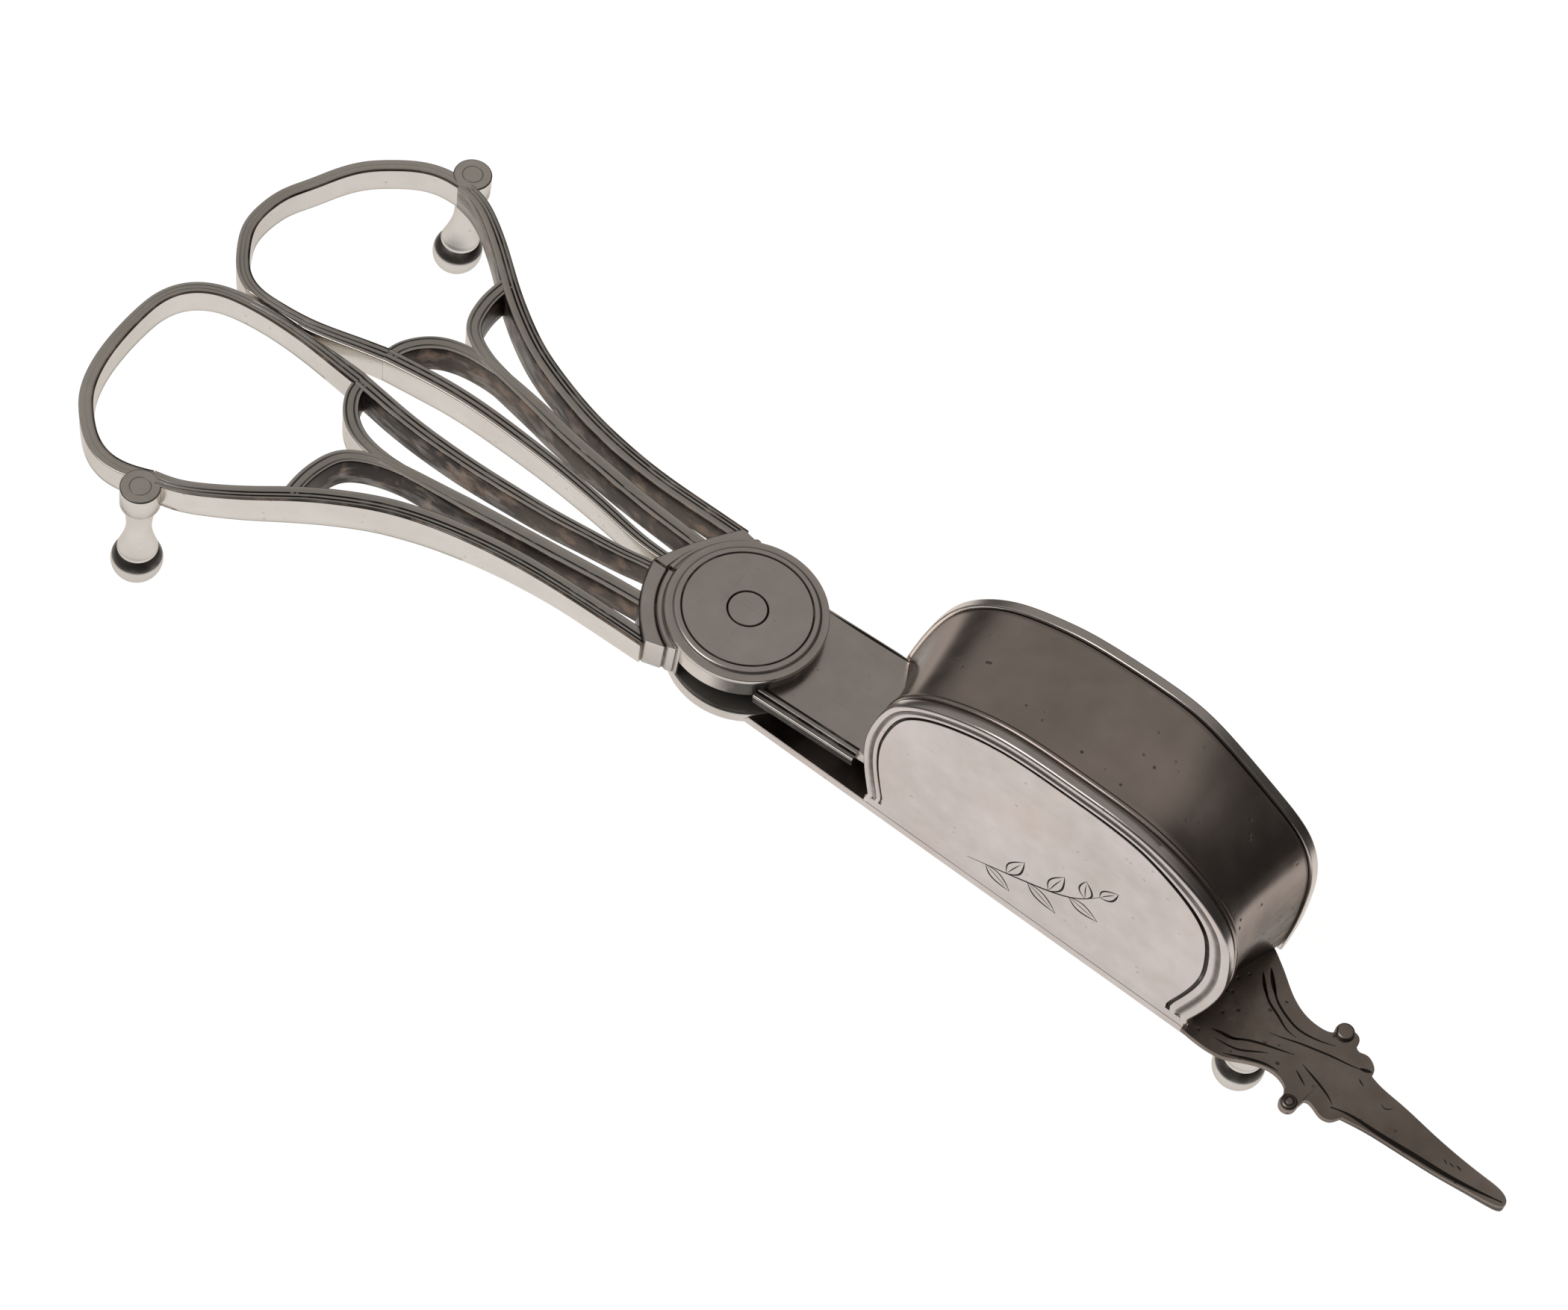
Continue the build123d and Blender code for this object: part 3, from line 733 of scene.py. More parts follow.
LUG_PROFILE = [(0, LUG_BOTTOM, 0), (1.85, LUG_BOTTOM, 0), (2.15, LUG_BOTTOM + 0.15, 0),
               (LUG_RADIUS, LUG_BOTTOM + 0.4, 0), (LUG_RADIUS, LUG_TOP - 0.24, 0),
               (LUG_RADIUS, LUG_TOP - 0.14, 0.9), (2.27, LUG_TOP - 0.07, 0.9), (2.2, LUG_TOP - 0.02, 0.6),
               (2.1, LUG_TOP, 0), (1.95, LUG_TOP, 0), (1.34, LUG_TOP, 0), (1.26, LUG_TOP - 0.01, 0.3),
               (1.2, LUG_TOP - 0.04, 0.75), (1.14, LUG_TOP - 0.01, 0.3), (1.06, LUG_TOP, 0),
               (0.9, LUG_TOP, 0), (0, LUG_TOP, 0)]


def lean_foot(piece, lean_x, lean_y):
    """Set a foot's ball over a little, its stem leaning from where it is fixed."""
    top = max(vertex.co.z for vertex in piece.data.vertices)
    for vertex in piece.data.vertices:
        share = 1 - vertex.co.z / top
        vertex.co.x += lean_x * MM * share
        vertex.co.y += lean_y * MM * share


LOOP_STEPS = 160
RAIL_STEPS = 90
RAIL_CLEAR = 0.2
# How far each foot's ball stands over
FAR_LEAN = (-0.8, -0.5)
NEAR_LEAN = (-0.45, 0.0)


def make_handle(side, hand, body, lines, touch, lean):
    """One handle: three cut rails, two arches and the finger loop, with the lug and foot under it."""
    # Widths, cut depths and soil along the strip, which also scales the painted edge shade, its drop from the
    # top, its belly, its section
    strips = {
        "inner_rail": ((1.3, 1.9), (1, 1), (1.2, 1.0, 0.9), 0.0, 0.6,
                       bar_section((1, 1.1, 1), 0.018, (0, 1.0))),
        "middle_rail": ((1.8, 1.9, 1.9, 1.3), (1, 1, 0.8, 0.2), (1.25, 1.0, 0.9), 0.0, 0.7,
                        bar_section((0.75, 1.4) if hand > 0 else (1.4, 0.75), 0.015, (1.0, 1.0))),
        # The outer rail and the finger loop take a painted shadow line along one top edge, their last section
        # values
        "outer_rail": ((1.95, 2.1, 2.1, 1.75), (1, 1, 1, 1, 1, 1, 0.5), (1.25, 1.0, 0.95, 0.6), 0.0, 1.0,
                       bar_section((1.25, 0.6, 0.75), 0.02, (1.0, 0), (0, 0.8), 0.14)),
        "outer_arch": ((0.9, 1.6, 1.85, 1.8), (0, 0.3, 0.8, 0.9), (0.9, 1.1), 0.03, 0.7,
                       bar_section((0.8, 1.3, 0.6), 0.015, (0, 1.0))),
        "inner_arch": ((0.9, 1.6, 1.85, 1.8), (0, 0.3, 0.8, 0.9), (0.9, 1.1), 0.05, 0.7,
                       bar_section((0.8, 1.3, 0.6), 0.015, (1.0, 0))),
        "finger_loop": ((2.0, 1.75, 1.6, 1.6, 1.65, 1.7, 1.7), (1, 0.8, 0.5, 0.1, 0, 0), (1.0,), 0.01, 0.6,
                        bar_section((0.9, 0.9, 1.2), 0.018, (0, 0.03), (0, 0.95))),
    }
    for label, (widths, depths, soils_and_shade, lower, hang, section) in strips.items():
        name = side + "_" + label
        shares = lines[label] if label in lines else ARCH_LINES[label]
        count = LOOP_STEPS if label == "finger_loop" else RAIL_STEPS
        run = handle_run(shares, hand, widths, depths, soils_and_shade, lower, hang, count)
        piece = draw_moulding(name + "_silver", [run], section, HANDLE_SILVER)
        keep_apart(piece, hand, touch if label == "finger_loop" else min(touch, RAIL_CLEAR))
        dress(piece, body, "polished_silver", name)
    lug = turn_piece(side + "_lug_silver", LUG_PROFILE, LUG_X, hand * LUG_SIDE, HANDLE_SILVER)
    dress(lug, body, "polished_silver", side + "_foot_lug")
    foot = turn_piece(side + "_foot_silver", foot_profile(LUG_BOTTOM), LUG_X, hand * LUG_SIDE, HANDLE_SILVER)
    lean_foot(foot, *lean)
    dress(foot, body, "polished_silver", side + "_foot")


make_handle("far", 1, "box_arm", FAR_LINES, FAR_TOUCH, FAR_LEAN)
make_handle("near", -1, "presser_arm", NEAR_LINES, NEAR_TOUCH, NEAR_LEAN)


# Collars and pivot
# Share of the way in from the outer edge, level, tarnish
COLLAR_BANDS = [(0.0, 20.1, 1), (0.01, 20.28, 1), (0.035, 20.41, 0.9), (0.07, 20.48, 0.5), (0.1, 20.5, 0),
                (0.4, 20.52, 0), (0.53, 20.52, 0), (0.57, 20.46, 0.3), (0.595, 20.3, 0.9),
                (0.62, 20.26, 1), (0.645, 20.4, 0.8), (0.67, 20.62, 0.2), (0.7, 20.7, 0),
                (0.78, 20.74, 0), (0.84, 20.72, 0), (0.875, 20.62, 0.7), (0.9, 20.66, 0.6),
                (0.925, 20.86, 0.1), (0.96, 20.92, 0), (1.0, 20.9, 0.6)]


def make_collar(side, body, outer_edge, inner_edge, bottom, lift):
    """Moulded part ring: a broad outer band, a cut, and narrower bands stepping up to the disc."""
    steps = 40
    outer = smooth_line(outer_edge, steps)
    inner = smooth_line(inner_edge, steps)
    points, dark, faces = [], [], []
    wide = len(COLLAR_BANDS)
    for k in range(steps + 1):
        for share, level, shade in COLLAR_BANDS:
            inside = min(max((share - 0.6) / 0.08, 0), 1)
            level += lift * inside
            shade *= 1 - 1.5 * lift * inside
            x, y = outer[k] * (1 - share) + inner[k] * share
            hollow = 0.3 * shade * (max(0, k - steps + 3) / 3) ** 2
            along = outer[steps] - outer[steps - 1]
            x, y = (x, y) - hollow * along / np.linalg.norm(along)
            points += [place(x, y, level), place(x, y, bottom)]
            dark += [shade, 0.2 + 0.5 * shade]

    def corner(k, j, low):
        return (k * wide + j) * 2 + low

    for k in range(steps):
        for j in range(wide - 1):
            for low in (0, 1):
                faces.append((corner(k, j, low), corner(k, j + 1, low), corner(k + 1, j + 1, low),
                              corner(k + 1, j, low)))
        for j in (0, wide - 1):
            faces.append((corner(k, j, 0), corner(k + 1, j, 0), corner(k + 1, j, 1), corner(k, j, 1)))
    for k in (0, steps):
        for j in range(wide - 1):
            faces.append((corner(k, j, 0), corner(k, j + 1, 0), corner(k, j + 1, 1), corner(k, j, 1)))
    piece = make_piece(side + "_collar_silver", points, faces, PIVOT_SILVER, dark, 35)
    dress(piece, body, "polished_silver", side + "_collar")


def disc_arc(radius, start, stop):
    """Places round the pivot's neck side, by angle from the handles' line."""
    turns = [math.radians(angle) for angle in np.linspace(start, stop, 7)]
    return [(-radius * math.cos(turn), radius * math.sin(turn)) for turn in turns]


NEAR_COLLAR_EDGE = [(-12.35, -1.05), (-11.6, -3.4), (-10.2, -6.2), (-8.5, -8.4), (-6.8, -10.1)]
FAR_COLLAR_EDGE = [(-12.35, -0.7), (-11.0, 2.3), (-9.6, 5.0), (-8.4, 7.1), (-7.3, 9.0)]
make_collar("near", "presser_arm", NEAR_COLLAR_EDGE, disc_arc(8.98, -6.7, -74), RAIL_BOTTOM, 0.1)
make_collar("far", "box_arm", FAR_COLLAR_EDGE, disc_arc(9.3, -4.3, 66), BASE_BOTTOM, 0.35)

# Radius, level, tarnish: black in the engraved ring and round the rivet; the underside and the step under the
# rim darkened as painted shade
DISC_PROFILE = [(1.66, 17.9, 0.6), (8.5, 17.9, 0.8), (8.75, 18.2, 0.6), (8.95, 18.4, 0.2),
                (9.0, 18.55, 0), (9.04, 20.75, 0), (9.06, 20.9, 0.8), (9.17, 21.0, 0.9),
                (9.22, 21.12, 0.2), (9.22, 21.46, 0), (9.2, 21.54, 0), (9.14, 21.6, 0), (9.05, 21.62, 0),
                (8.9, 21.63, 0), (8.35, 21.66, 0.1), (8.28, 21.73, 0.35), (8.22, 21.8, 0.4),
                (8.16, 21.9, 0.15), (8.05, 21.97, 0), (7.9, 22.0, 0), (7.6, 22.0, 0), (7.5, 21.98, 0.4),
                (7.44, 21.87, 1), (7.34, 21.87, 1), (7.28, 21.98, 0.5), (7.2, 22.0, 0), (7.05, 22.0, 0),
                (5.0, 22.0, 0), (2.7, 22.0, 0), (2.5, 22.0, 0), (2.4, 21.98, 0.3), (2.33, 21.86, 1),
                (2.27, 21.6, 1), (1.66, 21.05, 1), (1.66, 17.9, 0.6)]
disc = turn_piece("upper_disc_silver", DISC_PROFILE, 0, 0, PIVOT_SILVER, 30)
# Below its lip the disc's wall darkens towards the neck: painted shade and a painted dark reflection of the
# neck plate
DISC_LIP = 20.9
DISC_NECK_SHADE = (1.5, 4)
for spot, shade in zip(disc.data.vertices, disc.data.attributes["tarnish_and_shade"].data):
    if spot.co.z < DISC_LIP * MM and spot.co.x > (PIVOT_X + DISC_NECK_SHADE[0]) * MM:
        shade.value = max(shade.value, np.interp(spot.co.x / MM - PIVOT_X, DISC_NECK_SHADE, (0, 0.85)))
dress(disc, "presser_arm", "polished_silver", "upper_disc")

# Radius, level, tarnish: the top darkens inwards, painted shade under the parts that lie over it
LOWER_DISC_PROFILE = [(2.2, 13.4, 0), (8.85, 13.4, 0), (9.05, 13.6, 0), (9.05, 14.85, 0),
                      (8.98, 15.08, 0), (8.84, 15.24, 0.1), (8.6, 15.3, 0.5), (5.0, 15.3, 0.8),
                      (2.2, 15.3, 0.9), (2.2, 13.4, 0)]
LOWER_DISC_X = 0.7
lower_disc = turn_piece("lower_disc_silver", LOWER_DISC_PROFILE, LOWER_DISC_X, 0, PIVOT_SILVER, 30)
dress(lower_disc, "box_arm", "dull_silver", "lower_disc")

RIVET_PROFILE = [(0, 12.62, 0), (2.2, 12.66, 0), (2.9, 12.8, 0), (3.15, 13.05, 0), (3.2, 13.4, 0.3),
                 (1.58, 13.4, 0.3), (1.58, 21.1, 0.5), (2.16, 21.7, 1), (2.2, 21.9, 0.5),
                 (2.14, 21.98, 0.05), (1.95, 22.0, 0), (1.8, 22.0, 0), (1.0, 22.0, 0), (0, 22.0, 0)]
rivet = turn_piece("pivot_rivet_silver", RIVET_PROFILE, 0, 0, PIVOT_SILVER, 30)
dress(rivet, "box_arm", "polished_silver", "pivot_rivet")


# Plates
def plate_copy(node, name, finish, edge):
    """A plate with its corners joined up and its edges softened."""
    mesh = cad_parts[node].data.copy()
    mesh.name = name
    work = bmesh.new()
    work.from_mesh(mesh)
    bmesh.ops.remove_doubles(work, verts=work.verts, dist=1e-6)
    bmesh.ops.dissolve_limit(work, angle_limit=math.radians(1), verts=work.verts, edges=work.edges)
    work.to_mesh(mesh)
    work.free()
    mesh.materials.clear()
    mesh.materials.append(finish)
    mesh.shade_smooth()
    mesh.set_sharp_from_angle(angle=math.radians(40))
    piece = bpy.data.objects.new(name, mesh)
    bpy.context.scene.collection.objects.link(piece)
    soften(piece, edge)
    return piece


base = plate_copy("base_plate", "base_plate_silver", PANEL_SILVER, 0.1)
# Faces turned up take the near-black finish: painted shade over the base plate's top, which the neck shades
base.data.materials.append(SHADOWED_SILVER)
for face in base.data.polygons:
    face.material_index = 1 if face.normal.z > 0.5 else 0
dress(base, "box_arm", "dull_silver", "base_plate")
NECK_TOP = 19.4
neck = plate_copy("neck_plate", "neck_plate_silver", PIVOT_SILVER, 0.1)
dress(neck, "presser_arm", "polished_silver", "neck_plate")


NECK_EDGE = ((6.4, -6.45), (19.5, -5.8))


def make_neck_moulding():
    """Two beads and the cuts beside them, along the neck's near edge."""
    start, stop = NECK_EDGE
    along = np.linspace(0, 1, 25)
    line = [place(start[0] + (stop[0] - start[0]) * k, start[1] + (stop[1] - start[1]) * k, 0) for k in along]
    heading = (line[-1] - line[0]).normalized()
    out = Vector((heading.y, -heading.x, 0)) * MM
    # Across, level, tarnish, grime: black in the cuts; the wall below the outer beads is black too, painted
    # shade over the gap under it
    section = plain_section([(0.4, 17.65, 1), (0.46, 18.2, 1), (0.58, 18.7, 1), (0.66, 18.98, 0.8),
                             (0.7, 19.1, 0.5), (0.7, 19.2, 0.1), (0.66, 19.28, 0), (0.6, 19.33, 0.1),
                             (0.54, 19.35, 0.8), (0.46, 19.36, 0.6), (0.2, 19.38, 0.5),
                             (0.12, 19.37, 0.95), (0.05, 19.28, 1), (-0.06, 19.28, 1),
                             (-0.13, 19.42, 0.95), (-0.2, 19.49, 0.5), (-0.3, 19.51, 0.3),
                             (-0.58, 19.52, 0.3), (-0.66, 19.5, 0.7), (-0.74, 19.41, 1),
                             (-0.98, 19.41, 1), (-1.03, 19.3, 0.8), (-1.03, 18.2, 0, 0.3),
                             (-0.3, 17.7, 0, 0.3)])
    run = straight_run(line, out, Vector((0, 0, MM)))
    return draw_moulding("neck_moulding_silver", [run], section, HANDLE_SILVER)


dress(make_neck_moulding(), "presser_arm", "polished_silver", "neck_moulding")


# Wick box
def box_arch(count):
    """Outline of the box from its right foot over the top to its left foot, from its middle and its floor."""
    right = [(21.5, 1.6), (BOX_BULGE_HALF, 11.6)]
    right += [(BOX_BULGE_HALF * half, BOX_HEIGHT * height) for half, height in BOX_SHOULDER]
    left = [(-half, height) for half, height in reversed(right)]
    arch = smooth_line(right + [(0, BOX_HEIGHT)] + left, count)
    feet = np.linspace((21.8, 0), (21.5, 1.6), 6)[:-1]
    other = (feet * (-1, 1))[::-1]
    return np.concatenate([feet, arch, other])


def inward(line):
    """Unit vectors into the box, square to its outline."""
    along = headings(line)
    return np.stack([-along[:, 1], along[:, 0]], axis=1)


def box_place(half, y, height):
    return place(BOX_MIDDLE + half, y, BASE_TOP + height)


BOX_ARCH = box_arch(220)
BOX_INWARD = inward(BOX_ARCH)
BORDER_WIDTH = np.interp(BOX_ARCH[:, 0], (-23, -10, 10, 21), (0.78, 1, 1.03, 1.2))


def border_run(keep):
    """The box's outline as a run: inwards is its side, towards the near face its rise."""
    chosen = [k for k in range(len(BOX_ARCH)) if keep(*BOX_ARCH[k])]
    line = [box_place(BOX_ARCH[k][0], 0, BOX_ARCH[k][1]) for k in chosen]
    side = [Vector((BOX_INWARD[k][0], 0, BOX_INWARD[k][1])) * MM * BORDER_WIDTH[k] for k in chosen]
    depth = [np.interp(BOX_ARCH[k][1], (2.5, 5.5), (0.12, 1)) if BOX_ARCH[k][0] < 0 else 1 for k in chosen]
    return line, side, [Vector((0, -MM, 0))] * len(chosen), np.array(depth)


BORDER_SECTION = plain_section([(0.45, 5.9, 0), (0.06, 5.9, 0.2), (0.0, 6.0, 0), (0.0, 6.6, 0),
                                (0.02, 6.8, 0), (0.1, 6.96, 0), (0.26, 7.06, 0), (0.5, 7.1, 0),
                                (0.72, 7.07, 0), (0.86, 6.98, 0, 0.1), (0.96, 6.86, 0.25, 0.3),
                                (1.06, 6.78, 0.5, 0.4), (1.2, 6.75, 0.55, 0.5), (1.38, 6.78, 0.4, 0.4),
                                (1.5, 6.86, 0.1, 0.2), (1.6, 6.92, 0), (1.8, 6.96, 0), (1.98, 6.93, 0),
                                (2.1, 6.85, 0), (2.18, 6.74, 0.4), (2.23, 6.55, 1), (2.45, 6.55, 1),
                                (2.65, 6.55, 1), (2.65, 6.2, 0)])
whole_arch = border_run(lambda half, height: True)
border = draw_moulding("box_border_silver", [whole_arch], BORDER_SECTION, PANEL_SILVER, 32)
dress(border, "box_arm", "polished_silver", "box_border")


def flat_plate(name, outline, near, far, finish, edge):
    """Upright plate on an end-on outline, between two planes across the snuffers."""
    count = len(outline)
    points = [box_place(half, near, height) for half, height in outline]
    points += [box_place(half, far, height) for half, height in outline]
    faces = [tuple(range(count)), tuple(range(2 * count - 1, count - 1, -1))]
    faces += [(k, (k + 1) % count, count + (k + 1) % count, count + k) for k in range(count)]
    piece = make_piece(name, points, faces, finish)
    soften(piece, edge)
    return piece


PANEL_BACK = -5.9
PANEL_INSET = 2.52
panel_edge = BOX_ARCH + BOX_INWARD * PANEL_INSET * BORDER_WIDTH[:, None]
panel = flat_plate("box_panel_silver", panel_edge, PANEL_FACE, PANEL_BACK, PANEL_SILVER, 0.06)
dress(panel, "box_arm", "polished_silver", "box_panel")


PANEL_FOOT_HALF = 21.6


def make_panel_foot():
    """Low moulding that closes the ledge under the panel."""
    line = [place(BOX_MIDDLE + half, 0, 0) for half in np.linspace(-PANEL_FOOT_HALF, PANEL_FOOT_HALF, 21)]
    section = plain_section([(6.5, 14.45, 0), (7.09, 14.45, 0), (7.095, 14.56, 0), (7.09, 14.575, 1),
                             (7.09, 14.66, 1), (7.085, 14.68, 0), (6.9, 15.6, 0), (6.5, 15.6, 0)])
    run = straight_run(line, Vector((0, -MM, 0)), Vector((0, 0, MM)))
    return draw_moulding("panel_foot_silver", [run], section, PANEL_SILVER)


dress(make_panel_foot(), "box_arm", "polished_silver")


def presser_outline():
    """The presser's outline: the box's on the point's side, leaning out to the neck on the other."""
    top = cad_high.z / MM - BASE_TOP - 0.01
    line = smooth_line([(BOX_BULGE_HALF * half, BOX_HEIGHT * height) for half, height in PRESSER_SHARES], 240)
    return np.minimum(line, (BOX_BULGE_HALF * 2, top))


ROOF_NEAR = -5.9
ROOF_FAR = 8.0
ROOF_THICK = 0.9
ROOF_INSET = 0.4
MOUTH_INSET = 0.45
SWELL_START = -4.5
SWELL_RUN = 12.5
ROOF_RING = [(y, 0) for y in np.linspace(ROOF_NEAR, ROOF_FAR, 30)]
ROOF_RING += [(y, ROOF_THICK) for y in (ROOF_FAR, 2.0, ROOF_NEAR)]
# Place along the box, depth of the roof's waist there
WAIST_DEPTH = ((-16, 3, 12, 21), (0.05, 0.5, 0.6, 0.4))
# Share of the way back from the border, share of the waist's depth
ROOF_WAIST = ((0, 0.1, 0.2, 0.3, 0.4, 0.5, 0.6, 0.8, 1), (0, 0.42, 0.76, 0.94, 1.0, 0.93, 0.78, 0.4, 0))


def make_roof():
    """Bent shell over the box, a little dented, swelling to its mouth and open by the neck for the blade."""
    mouth = even_line(presser_outline(), len(BOX_ARCH) - 1)
    mouth = mouth + inward(mouth) * MOUTH_INSET
    kept = [k for k in range(len(BOX_ARCH)) if BOX_ARCH[k][0] > 0 or BOX_ARCH[k][1] > SLOT_HEIGHT]
    points, dark, grime_and_shade, faces = [], [], [], []
    for k in kept:
        for y, thick in ROOF_RING:
            back = min(max((y - SWELL_START) / SWELL_RUN, 0), 1)
            swell = 0.5 * back + 0.5 * back * back
            waist = np.interp(BOX_ARCH[k][0], *WAIST_DEPTH) * np.interp(back, *ROOF_WAIST)
            near = BOX_ARCH[k] + BOX_INWARD[k] * ROOF_INSET
            half, height = near * (1 - swell) + mouth[k] * swell + BOX_INWARD[k] * (thick + waist)
            height = max(height, 0.5 * swell)
            spot = box_place(half, y, height)
            if thick == 0 and -5.6 < y < 7.7:
                spot.z += MM * (0.03 * noise.noise(spot * 70) + 0.018 * noise.noise(spot * 160))
            points.append(spot)
            # Both long edges are darkened: painted shade where the roof meets the border and runs under the
            # presser's rim
            dark.append(0.5 if y in (ROOF_FAR, ROOF_NEAR) else 0)
            # The shell is browner and darker towards its foot, most on the point's side; its inside and cut
            # ends darker still
            low = np.interp(height, (4, 19), (0.7, 0)) * (1 if half > 0 else 0.4)
            grime_and_shade.append(low if thick == 0 else 0.6)
    wide = len(ROOF_RING)
    for k in range(len(kept) - 1):
        for j in range(wide):
            after = (j + 1) % wide
            faces.append((k * wide + j, k * wide + after, (k + 1) * wide + after, (k + 1) * wide + j))
    faces.append(tuple(range(wide)))
    faces.append(tuple(range((len(kept) - 1) * wide, len(kept) * wide)))
    return make_piece("box_roof_silver", points, faces, ROOF_SILVER, dark, 45, grime_and_shade)


dress(make_roof(), "box_arm", "dull_silver", "box_roof")

BEAD_SECTION = plain_section([(0.5, 4.7, 0), (0.38, 4.72, 0.6), (0.16, 4.78, 0), (0.05, 4.95, 0),
                              (0.02, 5.1, 0), (0.05, 5.25, 0), (0.16, 5.42, 0), (0.38, 5.48, 0.6),
                              (0.5, 5.5, 0)])
bead_run = border_run(lambda half, height: height > (1.0 if half > 0 else SLOT_HEIGHT + 0.2))
bead = draw_moulding("roof_bead_silver", [bead_run], BEAD_SECTION, ROOF_SILVER, 60)
dress(bead, "box_arm", "dull_silver", "roof_bead")


PRESSER_NEAR = 8.1
PRESSER_FAR = 9.4
presser = flat_plate("presser_plate_silver", presser_outline(), PRESSER_NEAR, PRESSER_FAR, PIVOT_SILVER, 0.25)
dress(presser, "presser_arm", "polished_silver", "presser_plate")


# Point
FAR_POINT = {
    "flank": [(65.2, 8.2), (67.0, 7.85), (68.69, 6.87), (70.42, 5.6), (72.25, 4.15), (74.63, 2.91),
              (76.84, 2.62), (78.4, 3.1), (79.2, 4.3), (80.3, 4.65), (81.0, 4.3), (81.3, 3.2)],
    "leaf": [(81.3, 3.2), (81.7, 2.95), (82.54, 3.12), (83.67, 2.78), (84.25, 2.18), (84.46, 1.35)],
    "blade": [(84.46, 1.35), (84.9, 1.2), (88.68, 0.63), (92.76, 0.0), (96.76, -0.5), (100.54, -0.74),
              (102.23, -0.88), (103.14, -1.2), (103.57, -1.6), (103.72, -2.0)],
}
NEAR_POINT = {
    "flank": [(65.2, -7.4), (67.2, -7.6), (69.3, -7.55), (70.7, -7.25), (72.05, -6.55), (73.69, -5.69),
              (75.38, -5.19), (76.8, -5.32), (77.9, -6.0), (78.3, -7.3), (79.3, -8.0), (80.0, -7.3),
              (80.1, -6.2)],
    "leaf": [(80.1, -6.2), (80.4, -5.75), (81.25, -5.75), (82.74, -6.25), (83.7, -6.0), (84.2, -5.4),
             (84.45, -4.95)],
    "blade": [(84.45, -4.95), (87.11, -4.5), (90.05, -4.25), (93.5, -4.05), (96.96, -3.75),
              (99.59, -3.35), (102.6, -2.9), (103.3, -2.65), (103.62, -2.35), (103.72, -2.0)],
}
POINT_STEPS = {"flank": 44, "leaf": 20, "blade": 44}
POINT_ACROSS = 16
POINT_UNDER = 0.72
FAR_SCROLL_PLACE = (79.35, 3.85)
NEAR_SCROLL_PLACE = (79.1, -7.2)
FAR_SCROLL = [(0, 13.6, 0), (1.0, 13.6, 0), (1.1, 14.0, 0), (1.12, 14.9, 0.7), (1.1, 15.02, 0.4),
              (1.05, 15.2, 0), (0.97, 15.34, 0), (0.84, 15.41, 0), (0.7, 15.43, 0), (0, 15.44, 0)]
NEAR_SCROLL = [(0, 13.5, 0), (0.7, 13.55, 0), (1.0, 14.0, 0), (1.06, 14.5, 0), (1.0, 14.95, 0),
               (0.85, 15.2, 0), (0.68, 15.31, 0.3), (0.58, 15.3, 0.9), (0.48, 15.3, 0.8), (0.4, 15.36, 0),
               (0.2, 15.4, 0), (0, 15.41, 0)]


def point_edge(sides):
    """One edge of the point, from its root over the scroll and the leaf to its tip."""
    parts = [smooth_line(sides[label], steps) for label, steps in POINT_STEPS.items()]
    return np.concatenate([parts[0], parts[1][1:], parts[2][1:]])


def root_dirt_and_shade(x, y):
    """Brown dirt between the cut lines at the point's root, and painted shade that deepens towards the box.
    """
    far = np.interp(x, (66, 68.6, 71.0, 72.7, 74.3), (5.5, 3.9, 1.5, 0.7, -0.1))
    near = np.interp(x, (66, 68.1, 70.0, 72.3, 73.7), (-5.8, -5.2, -4.9, -3.5, -3.0))
    inside = near < y < far
    return (0.34 if inside else 0.16) * np.interp(x, (68, 73.5), (1, 0.35 if x < 73.5 else 0))


def make_point():
    """Flat pricket with a thin edge, swelling below, with a scroll on each side of its root."""
    far, near = point_edge(FAR_POINT), point_edge(NEAR_POINT)
    middle = (far + near) / 2
    points, grime_and_shade, dark, faces = [], [], [], []
    for shrink, level in ((1.0, POINT_TOP), (1.0, POINT_EDGE), (POINT_UNDER, BASE_BOTTOM)):
        for k in range(len(far)):
            for share in np.linspace(0, 1, POINT_ACROSS + 1):
                x, y = middle[k] + (far[k] * (1 - share) + near[k] * share - middle[k]) * shrink
                points.append(place(x, y, level))
                grime_and_shade.append(root_dirt_and_shade(x, y) if level == POINT_TOP else 0)
                dark.append(0 if level == POINT_TOP else np.interp(x, (82, 86), (0.1, 0.75)))
    wide = POINT_ACROSS + 1
    layer = wide * len(far)

    def corner(sheet, k, j):
        return sheet * layer + k * wide + j

    for k in range(len(far) - 1):
        for j in range(POINT_ACROSS):
            for sheet in (0, 2):
                faces.append((corner(sheet, k, j), corner(sheet, k, j + 1), corner(sheet, k + 1, j + 1),
                              corner(sheet, k + 1, j)))
        for sheet in (0, 1):
            for j in (0, POINT_ACROSS):
                faces.append((corner(sheet, k, j), corner(sheet, k + 1, j), corner(sheet + 1, k + 1, j),
                              corner(sheet + 1, k, j)))
    for sheet in (0, 1):
        for k in (0, len(far) - 1):
            for j in range(POINT_ACROSS):
                faces.append((corner(sheet, k, j), corner(sheet, k, j + 1), corner(sheet + 1, k, j + 1),
                              corner(sheet + 1, k, j)))
    used = sorted({spot for face in faces for spot in face})
    order = {spot: k for k, spot in enumerate(used)}
    points, grime_and_shade, dark = ([values[spot] for spot in used] for values in (points, grime_and_shade, dark))
    faces = [tuple(order[spot] for spot in face) for face in faces]
    for profile, spot in ((FAR_SCROLL, FAR_SCROLL_PLACE), (NEAR_SCROLL, NEAR_SCROLL_PLACE)):
        more, rings, shade = turned(profile, *spot, 40)
        first = len(points)
        points += more
        faces += [tuple(first + spot for spot in ring) for ring in rings]
        dark += shade
        grime_and_shade += [0.0] * len(more)
    piece = make_piece("point_silver", points, faces, POINT_SILVER, dark, grime_and_shade=grime_and_shade)
    soften(piece, 0.12, 2)
    return piece


